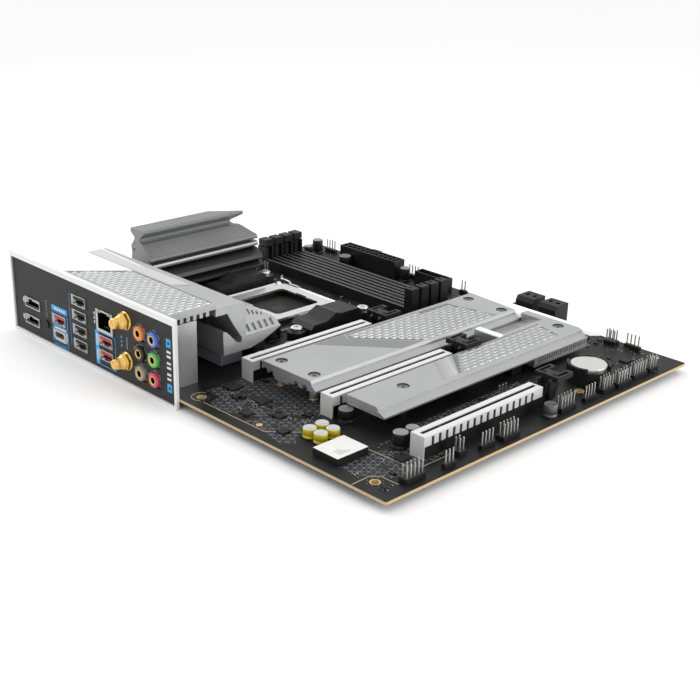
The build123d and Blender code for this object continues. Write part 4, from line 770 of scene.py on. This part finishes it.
def audio_jacks():
    """Six coloured jack rings with ribbed rims, gold liners and dark bores; the bores are partly
    black plastic and partly painted shade.
    """
    for middle, height, tint in JACKS:
        build = Build("audio_jack_" + tint)
        centre = at(0, BOARD_Y - middle, height)
        face = -PLATE_FACE
        front = face + 2.0
        outer = [(-0.3, 4.05), (face, 4.05), (front - 0.9, 4.05), (front - 0.35, 3.9),
                 (front, 3.4), (front, 2.55), (front - 0.15, 2.4), (-0.3, 2.4)]
        build.lathe(centre, (-1, 0, 0), outer + [outer[0]], "ring_" + tint, 40, True)
        liner_profile = [(front - 0.7, 2.5), (front - 0.1, 2.5), (front + 0.05, 2.38),
                         (front - 0.02, 2.0), (front - 0.3, 1.84), (front - 0.7, 1.84),
                         (front - 0.7, 2.5)]
        build.lathe(centre, (-1, 0, 0), liner_profile, "gold", 32, True)
        for index in range(JACK_RIBS):
            angle = 2 * math.pi * index / JACK_RIBS
            rib = Vector((0, math.cos(angle), math.sin(angle)))
            side = Vector((0, -math.sin(angle), math.cos(angle)))
            points = []
            for reach in (face + 0.1, front - 0.9):
                for out in (3.95, 4.1):
                    for shift in (-0.16, 0.16):
                        points.append(centre + (Vector((-reach, 0, 0)) + rib * out
                                                + side * shift) * MM)
            faces = [(0, 1, 3, 2), (4, 6, 7, 5), (0, 4, 5, 1), (2, 3, 7, 6), (1, 5, 7, 3),
                     (0, 2, 6, 4)]
            build.add(points, faces, "ring_" + tint)
        replaced = ["audio_jack_rings"] if tint == "blue" else []
        build.finish(replaces=replaced)
    bores = Build("audio_jack_bores")
    for middle, height, _ in JACKS:
        centre = at(0, BOARD_Y - middle, height)
        mouth = -PLATE_FACE + 1.28
        tube = [(mouth, 1.84), (-15.5, 1.84), (-15.5, 0.0)]
        wall = [(-15.7, 0.0), (-15.7, 2.36), (mouth, 2.36), (mouth, 1.84)] + tube[1:]
        bores.lathe(centre, (-1, 0, 0), wall, "black_with_painted_shade", 24, True)
    bores.finish()


plate_print()
port_liners()
usb_tongues()
antenna_connectors()
audio_jacks()


# ---- capacitors
# Each can: place on the board, radius, height.
GREY_CAP = (127.5, 7.6, 3.5, 7.0)
DARK_CAPS = (
    (45.8, 71.5, 4.1, 7.0), (44.8, 33.7, 4.0, 8.0),
    (53.0, 33.6, 3.6, 8.0), GREY_CAP,
    (BOARD_X - 27.6, BOARD_Y - 21.4, 3.2, 8.4),
    (BOARD_X - 15.8, BOARD_Y - 18.4, 3.6, 10.0),
    (BOARD_X - 24.2, BOARD_Y - 55.0, 4.2, 8.6),
    (BOARD_X - 14.6, BOARD_Y - 101.6, 3.5, 9.4),
    (89.0, BOARD_Y - 118.0, 3.4, 7.4), (96.4, BOARD_Y - 122.6, 3.4, 7.4),
    (88.4, BOARD_Y - 127.0, 3.4, 7.4), (82.0, BOARD_Y - 152.0, 3.6, 8.0),
    (60.8, BOARD_Y - 152.6, 3.4, 8.0),
)
YELLOW_CAPS = [(23.8 + 4.05 * i, 66.0 + 3.85 * j, 3.5, 5.4) for i in (-1, 1) for j in (-1, 1)]


def capacitor(build, x, y, radius, height, sleeve, top):
    """An aluminium can: base bead, sleeve, rolled shoulder and a slightly sunk top."""
    centre = at(x, y, 0)
    profile = [(0.0, radius - 0.1), (0.15, radius), (1.2, radius), (1.45, radius - 0.32),
               (1.75, radius - 0.32), (2.0, radius), (height - 0.7, radius),
               (height - 0.25, radius - 0.18), (height, radius - 0.55),
               (height - 0.02, radius - 0.7), (height - 0.16, radius - 0.9),
               (height - 0.16, 0.0)]
    kinds = [sleeve] * 7 + [top] * 4
    build.lathe(centre, (0, 0, 1), profile, kinds, 32, True)
    build.box(x - radius - 0.3, x + radius + 0.3, y - radius + 0.6, y + radius - 0.6, 0, 0.5,
              "black", 0.05)


def capacitors():
    dark = Build("dark_cans")
    for cap in DARK_CAPS:
        grey = cap is GREY_CAP
        capacitor(dark, *cap, "can_grey" if grey else "can_dark", "can_grey" if grey else "can_top")
    dark.finish(replaces=["dark_capacitors"])
    yellow = Build("yellow_cans")
    for cap in YELLOW_CAPS:
        capacitor(yellow, *cap, "can_yellow", "can_yellow_top")
    yellow.finish(replaces=["audio_capacitors"])


capacitors()


# ---- contacts and pins
def slot_contacts():
    """Rows of spring contacts along both lips of the memory and expansion slots."""
    for number in range(1, 5):
        x0, x1, y0, y1, _, _ = span(f"dimm_slot_{number}")
        top = 7.2
        middle = (x0 + x1) / 2
        build = Build(f"memory_contacts_{number}")
        for side in (-1, 1):
            low, high = sorted((middle + side * 2.5, middle + side * 2.86))
            build.box(low, high, y0 + 6.4, y1 - 9.6, top - 0.02, top + 0.08, "slot_line")
        y = y0 + 8.0
        while y < y1 - 12.0:
            for side in (-1, 1):
                low, high = sorted((middle + side * 0.75, middle + side * 0.95))
                build.box(low, high, y, y + 0.5, top - 3.4, top - 1.6, "gold")
            y += 0.85
        build.finish()
    for number in range(1, 4):
        x0, x1, y0, y1, _, z1 = span(f"pcie_slot_{number}")
        middle = (y0 + y1) / 2
        build = Build(f"slot_contacts_{number}")
        x = x0 + 3.0
        while x < x0 + 86.0:
            if not 13.6 < x - x0 < 17.2:
                for side in (-1, 1):
                    low, high = sorted((middle + side * 0.72, middle + side * 0.9))
                    build.box(x, x + 0.5, low, high, z1 - 6.0, z1 - 3.6, "gold")
            x += 1.0
        build.finish()


def socket_contacts():
    """The field of spring contacts in the processor socket."""
    x0, x1, y0, y1, _, _ = span("socket_housing")
    build = Build("socket_contacts")
    step, margin, window = 0.94, 4.6, 4.6
    count = int((x1 - x0 - 9.0) / step)
    for i in range(count):
        for j in range(count):
            x = x0 + margin + step * i
            y = y0 + margin + step * j
            if abs(x - (x0 + x1) / 2) < window and abs(y - (y0 + y1) / 2) < window:
                continue
            z = 1.2
            points = [at(x, y, z), at(x + 0.5, y, z), at(x + 0.5, y + 0.3, z), at(x, y + 0.3, z),
                      at(x + 0.42, y + 0.15, z + 0.4)]
            build.add(points, [(0, 1, 4), (1, 2, 4), (2, 3, 4), (3, 0, 4), (3, 2, 1, 0)],
                      "contact_dark")
    build.finish()


def power_spots():
    """Pin places of the 24-pin socket and of the two processor power sockets."""
    x0, _, y0, _, _, _ = span("atx_power_socket")
    spots = [(x0 + 2.7 + 4.2 * row, y0 + 2.8 + 4.18 * column)
             for column in range(12) for row in range(2)]
    x0 = span("cpu_power_sockets")[0]
    return spots + [(x0 + plug + 2.6 + 4.25 * column, BOARD_Y - 8.25 + 4.3 * row)
                    for plug in (0.0, 19.0) for column in range(4) for row in range(2)]


def power_pins():
    """Metal pins inside the cells of the power sockets."""
    build = Build("power_pins")
    for x, y in power_spots():
        build.box(x - 0.5, x + 0.5, y - 0.5, y + 0.5, 2.4, 9.6, "gold", 0.2)
    build.finish()


slot_contacts()
socket_contacts()
power_pins()


# ---- board surface
HOLES = ((10.16, 16.51), (10.16, 140.97), (165.1, 16.51), (165.1, 140.97), (165.1, 298.45),
         (237.49, 16.51), (237.49, 140.97), (237.49, 298.45), (33.02, 298.45))


def ring(build, x, y, inner, outer, z0, z1, finish, count=32):
    """A flat ring on the board."""
    points = []
    for radius in (inner, outer):
        for z in (z0, z1):
            for i in range(count):
                angle = 2 * math.pi * i / count
                points.append(at(x + radius * math.cos(angle), y + radius * math.sin(angle), z))
    faces = []
    for i in range(count):
        j = (i + 1) % count
        faces += [(i, count + i, count + j, j),
                  (2 * count + i, 2 * count + j, 3 * count + j, 3 * count + i),
                  (count + i, 3 * count + i, 3 * count + j, count + j),
                  (i, j, 2 * count + j, 2 * count + i)]
    build.add(points, faces, finish)


LATTICE_ZONES = (
    ((6.8, 122.3), (11.8, 106.9), (24.8, 98.3), (39.5, 84.0), (60.0, 84.0), (60.0, 134.0),
     (38.0, 146.0), (17.0, 146.0), (17.0, 135.0), (8.6, 132.0)),
    ((8.8, 104.6), (20.4, 97.4), (33.0, 84.0), (33.0, 76.0), (18.4, 76.4), (9.6, 68.6),
     (4.4, 73.4)),
    ((8.2, 37.6), (8.2, 27.0), (19.2, 13.2), (36.0, 13.2), (36.0, 36.0), (31.0, 37.6)),
    ((36.0, 32.0), (36.0, 14.0), (60.0, 14.0), (60.0, 28.0)),
    ((54.0, 46.0), (76.0, 46.0), (76.0, 28.0), (54.0, 28.0)),
    ((76.0, 46.0), (76.0, 26.0), (150.0, 26.0), (150.0, 46.0)),
)
LATTICE_PITCH = 3.6
LATTICE_STEP = 0.4
LATTICE_LINE = 0.3
SHORTEST_LINE = 1.0


def lattice(build):
    """Printed triangle lattice: lines in three directions, kept inside each zone."""
    for zone in LATTICE_ZONES:
        middle_x = sum(p[0] for p in zone) / len(zone)
        middle_y = sum(p[1] for p in zone) / len(zone)
        reach = max(math.hypot(x - middle_x, y - middle_y) for x, y in zone)
        for degrees in (15.0, 75.0, 135.0):
            along = Vector((math.cos(math.radians(degrees)), math.sin(math.radians(degrees))))
            across = Vector((-along.y, along.x))
            for number in range(-int(reach / LATTICE_PITCH), int(reach / LATTICE_PITCH) + 1):
                start = None
                steps = int(2 * reach / LATTICE_STEP)
                for step in range(steps + 1):
                    spot = (Vector((middle_x, middle_y)) + across * number * LATTICE_PITCH
                            + along * (step * LATTICE_STEP - reach))
                    within = step < steps and inside(spot.x, spot.y, zone)
                    if within and start is None:
                        start = spot
                    elif not within and start is not None:
                        if (spot - start).length > SHORTEST_LINE:
                            build.strip([start, spot], LATTICE_LINE, 0.0, 0.02, "lattice")
                        start = None


def board_marks():
    """Plated hole pads, the gold border lines and the printed lattice."""
    build = Build("board_marks")
    for x, y in HOLES:
        for z0, z1 in ((0.0, 0.04), (-BOARD_T - 0.04, -BOARD_T)):
            ring(build, x, y, 2.02, 2.7, z0, z1, "gold_pad")
            for index in range(8):
                angle = 2 * math.pi * (index + 0.5) / 8
                px, py = x + 4.0 * math.cos(angle), y + 4.0 * math.sin(angle)
                ring(build, px, py, 0.01, 0.32, z0, z1, "grey_print", 10)
    arc = [(10.5 + 5.4 * math.cos(math.radians(a)), 141.4 + 5.4 * math.sin(math.radians(a)))
           for a in range(30, 226, 15)]
    build.strip(arc, 0.5, 0.0, 0.03, "gold_line")
    ring(build, 10.5, 96.1, 0.01, 1.7, 0.0, 0.05, "gold_pad")
    for path in (
            [(6.8, 135.6), (7.0, 112.0), (7.4, 88.8), (20.6, 76.0)],
            [(31.4, 42.0), (32.0, 30.0), (32.5, 18.6)],
            [(0.5, 21.7), (11.7, 22.1), (15.9, 18.0), (16.3, 7.7)],
            [(32.5, 18.6), (38.0, 12.6), (62.0, 12.6)],
            [(20.6, 76.0), (30.0, 76.0)]):
        build.strip(path, 0.5, 0.0, 0.03, "gold_line")
    for x, y, wide in ((30.0, 124.0, 5.0), (21.0, 118.0, 4.2), (34.0, 108.0, 4.2), (24.0, 106.0, 3.6),
                       (15.0, 90.0, 3.6), (27.0, 88.0, 4.4), (24.0, 24.0, 4.4), (31.0, 132.0, 3.8)):
        build.box(x - wide / 2, x + wide / 2, y - wide / 2, y + wide / 2, 0.0, 0.08, "olive_pad")
    lattice(build)
    build.finish()


def sink_fastenings():
    """Dark seats round the sunk heatsink screws and gold feet under the posts."""
    build = Build("sink_fastenings")
    for x, y, top in ((51.6, 126.0, UPPER_TOP), (51.6, 101.0, UPPER_TOP), (202.6, 126.2, UPPER_TOP),
                      (202.6, 100.7, UPPER_TOP), (77.0, 62.6, LOWER_TOP), (208.2, 63.6, LOWER_TOP)):
        build.lathe(at(x, y, top), (0, 0, 1), [(-1.2, 2.95), (-1.2, 3.28), (0.03, 3.28),
                                               (0.06, 3.2), (0.03, 2.92), (-1.2, 2.95)],
                    "screw_ring", 36, True)
        build.lathe(at(x, y, 0), (0, 0, 1), [(0.0, 1.98), (0.0, 2.35), (0.7, 2.35), (0.8, 2.2),
                                             (0.8, 1.98), (0.0, 1.98)], "gold_pad", 28, True)
    build.finish()


# Of the random numbers from 0 to 1, those below the first give chips, below the second large parts.
CHIP_SHARE, LARGE_SHARE = 0.06, 0.2
# CAD nodes that don't keep the scattered parts away, because they stand apart or overhang.
OPEN_NODES = (
    "pcb chips header_bodies header_pins heatsink_posts heatsink_screws dark_capacitors "
    "audio_capacitors chokes thermal_pads m2_sockets pcie_armour cooler_screws socket_backplate "
    "light_bars upper_m2_heatsink lower_m2_heatsink rear_vrm_heatsink io_cover "
    "top_vrm_heatsink socket_lever").split()


def scatter():
    """Small surface-mounted parts in the open areas, in seeded random order."""
    draw = random.Random(7)
    zones = (
        (14, 38, 98, 140, 60), (26, 40, 72, 96, 16), (6, 34, 6, 30, 16),
        (36, 118, 26, 44, 46), (134, 168, 26, 44, 26),
        (196, 240, 20, 42, 60), (222, 241, 46, 78, 36), (222, 241, 124, 160, 40),
        (98, 158, 147, 158, 46), (62, 96, 190, 260, 50), (160, 174, 150, 300, 60),
        (214, 222, 150, 290, 50), (160, 206, 92, 94, 2), (40, 60, 132, 136, 8),
        (212, 240, 262, 300, 26), (78, 134, 294, 302, 24), (218, 224, 4, 14, 6),
    )
    taken = [(x, y, 5.4) for x, y in HOLES]
    taken += [(x, y, radius + 1.4) for x, y, radius, _ in DARK_CAPS]
    blocked = []
    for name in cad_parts:
        if name in OPEN_NODES:
            continue
        x0, x1, y0, y1, z0, _ = span(name)
        if z0 < 2.0:
            blocked.append((x0 - 1.2, x1 + 1.2, y0 - 1.2, y1 + 1.2))
    build = Build("small_parts")
    for x0, x1, y0, y1, count in zones:
        for _ in range(count):
            x, y = draw.uniform(x0, x1), draw.uniform(y0, y1)
            kind = draw.random()
            turned = draw.random() < 0.5
            if any(math.hypot(x - a, y - b) < r for a, b, r in taken):
                continue
            if any(a < x < b and c < y < d for a, b, c, d in blocked):
                continue
            if kind < CHIP_SHARE:
                size, tall = (3.2, 2.6), 0.9
            elif kind < LARGE_SHARE:
                size, tall = (2.0, 1.25), 0.8
            else:
                size, tall = (1.0, 0.5), 0.4
            if turned:
                size = (size[1], size[0])
            small_part(build, x, y, size, tall, kind, turned)
            taken.append((x, y, max(size) * 0.75 + 0.3))
    build.finish()


def small_part(build, x, y, size, tall, kind, turned):
    """One chip part: a body with metal end caps, or a small black package with legs."""
    half_x, half_y = size[0] / 2, size[1] / 2
    if kind < CHIP_SHARE:
        build.box(x - half_x, x + half_x, y - half_y, y + half_y, 0.1, tall, "black_soft", 0.12)
        for side in (-1, 1):
            for leg in (-0.9, 0.0, 0.9):
                if turned:
                    px, py = x + side * (half_x + 0.25), y + leg * half_y * 0.8
                else:
                    px, py = x + leg * half_x * 0.8, y + side * (half_y + 0.25)
                build.box(px - 0.22, px + 0.22, py - 0.22, py + 0.22, 0.0, 0.22, "tin")
        return
    cap = 0.24 * max(size)
    cap_x, cap_y = (0.0, cap) if turned else (cap, 0.0)
    x0, x1, y0, y1 = x - half_x, x + half_x, y - half_y, y + half_y
    body = "ceramic" if kind > 0.5 else "black_soft"
    build.box(x0 + cap_x, x1 - cap_x, y0 + cap_y, y1 - cap_y, 0.0, tall, body, 0.04)
    if turned:
        ends = ((x0, x1, y0, y0 + cap), (x0, x1, y1 - cap, y1))
    else:
        ends = ((x0, x0 + cap, y0, y1), (x1 - cap, x1, y0, y1))
    for end in ends:
        build.box(*end, 0.0, tall, "tin", 0.04)


def audio_label():
    """The white printed lid of the audio module, with plain grey lines."""
    x0, x1, y0, y1, _, z1 = span("audio_shield")
    build = Build("audio_lid")
    build.box(x0 + 0.15, x1 - 0.15, y0 + 0.15, y1 - 0.15, z1 - 0.02, z1 + 0.12, "white_plastic",
              0.06)
    for index in range(4):
        y = y0 + 3.0 + 1.3 * index
        build.box(x0 + 4.0, x0 + 11.0 - index, y, y + 0.35, z1 + 0.1, z1 + 0.14, "grey_print")
    build.finish()


def underside():
    """Solder joints below the slots, sockets and ports."""
    build = Build("solder_joints")
    low = -BOARD_T
    spots = []
    for number in range(1, 5):
        x0, x1, y0, y1, _, _ = span(f"dimm_slot_{number}")
        spots += [((x0 + x1) / 2, y, 0.8) for y in (y0 + 3, y1 - 6)]
    for number in range(1, 4):
        x0, _, y0, y1, _, _ = span(f"pcie_slot_{number}")
        for index in range(41):
            for side in (-1.5, 1.5):
                spots.append((x0 + 3 + 2.0 * index, (y0 + y1) / 2 + side, 0.45))
    spots += [(x, y, 0.9) for x, y in power_spots()]
    for name in ("usb_stack", "usb_c_stack", "lan_usb_stack", "display_ports",
                 "audio_jack_block"):
        _, x1, y0, y1, _, _ = span(name)
        spots += [(4 + 2.6 * i, y0 + 1.6 + 2.4 * j, 0.5)
                  for i in range(int((x1 - 6) / 2.6)) for j in range(int((y1 - y0 - 2) / 2.4))]
    for x, y, radius, _ in list(DARK_CAPS) + YELLOW_CAPS:
        spots += [(x - radius * 0.4, y, 0.55), (x + radius * 0.4, y, 0.55)]
    for x, y, radius in spots:
        build.lathe(at(x, y, low), (0, 0, -1), [(-0.02, radius), (0.08, radius * 0.95),
                                               (0.4, radius * 0.5), (0.9, radius * 0.3),
                                               (1.0, 0.0)], "tin", 10, True)
    build.finish()


board_marks()
sink_fastenings()
scatter()
audio_label()
underside()


# ---- stage
FLOOR_REACH = 60.0
CAMERA_PLACE = (-339.0, -312.2, 252.6)
AZIMUTH, ELEVATION, ROLL = 45.1, 22.9, 1.54


def stage():
    """A wide pale floor, an even white sky and soft lamps."""
    floor_z = CAD_BOX[0][2]
    mesh = bpy.data.meshes.new("floor")
    reach = FLOOR_REACH
    mesh.from_pydata([(-reach, -reach, floor_z), (reach, -reach, floor_z),
                      (reach, reach, floor_z), (-reach, reach, floor_z)], [], [(0, 1, 2, 3)])
    floor = bpy.data.objects.new("floor", mesh)
    bpy.context.scene.collection.objects.link(floor)
    shader = Shader("floor_pale", 0.9, specular=0.0)
    shader.colour(shader.blend(shader.noise(3.0), rgb(0.94), rgb(0.96)))
    floor.data.materials.append(shader.material)

    world = bpy.data.worlds.new("studio")
    bpy.context.scene.world = world
    world.use_nodes = True
    world.node_tree.nodes["Background"].inputs["Color"].default_value = rgb(1.0)
    world.node_tree.nodes["Background"].inputs["Strength"].default_value = 1.0

    def area(name, place, target, size, power):
        data = bpy.data.lights.new(name, "AREA")
        data.shape = "RECTANGLE"
        data.size, data.size_y = size
        data.energy = power
        lamp = bpy.data.objects.new(name, data)
        lamp.location = place
        lamp.rotation_euler = (Vector(target) - Vector(place)).to_track_quat("-Z", "Y").to_euler()
        bpy.context.scene.collection.objects.link(lamp)

    area("far_left_panel", (-0.15, 0.8, 0.5), (-0.12, 0.1, 0), (0.5, 0.35), 2.2)
    area("near_right_panel", (0.6, -1.1, 0.35), (0, 0, 0), (0.7, 0.4), 7)


def camera():
    """The camera at the reference viewing angle: azimuth, elevation and a slight roll."""
    data = bpy.data.cameras.new("view")
    data.lens = 62.15
    data.sensor_width = 36.0
    data.shift_x = 0.0091
    data.shift_y = 0.0396
    cam = bpy.data.objects.new("view", data)
    cam.location = at(*CAMERA_PLACE)
    azimuth, elevation, roll = map(math.radians, (AZIMUTH, ELEVATION, ROLL))
    forward = Vector((math.cos(elevation) * math.cos(azimuth),
                      math.cos(elevation) * math.sin(azimuth), -math.sin(elevation)))
    turn = forward.to_track_quat("-Z", "Y").to_matrix().to_4x4()
    cam.matrix_world = Matrix.Translation(cam.location) @ turn @ Matrix.Rotation(roll, 4, "Z")
    data.clip_start, data.clip_end = 0.01, 50
    bpy.context.scene.collection.objects.link(cam)
    bpy.context.scene.camera = cam


stage()
camera()
bpy.context.scene.view_settings.view_transform = "Standard"
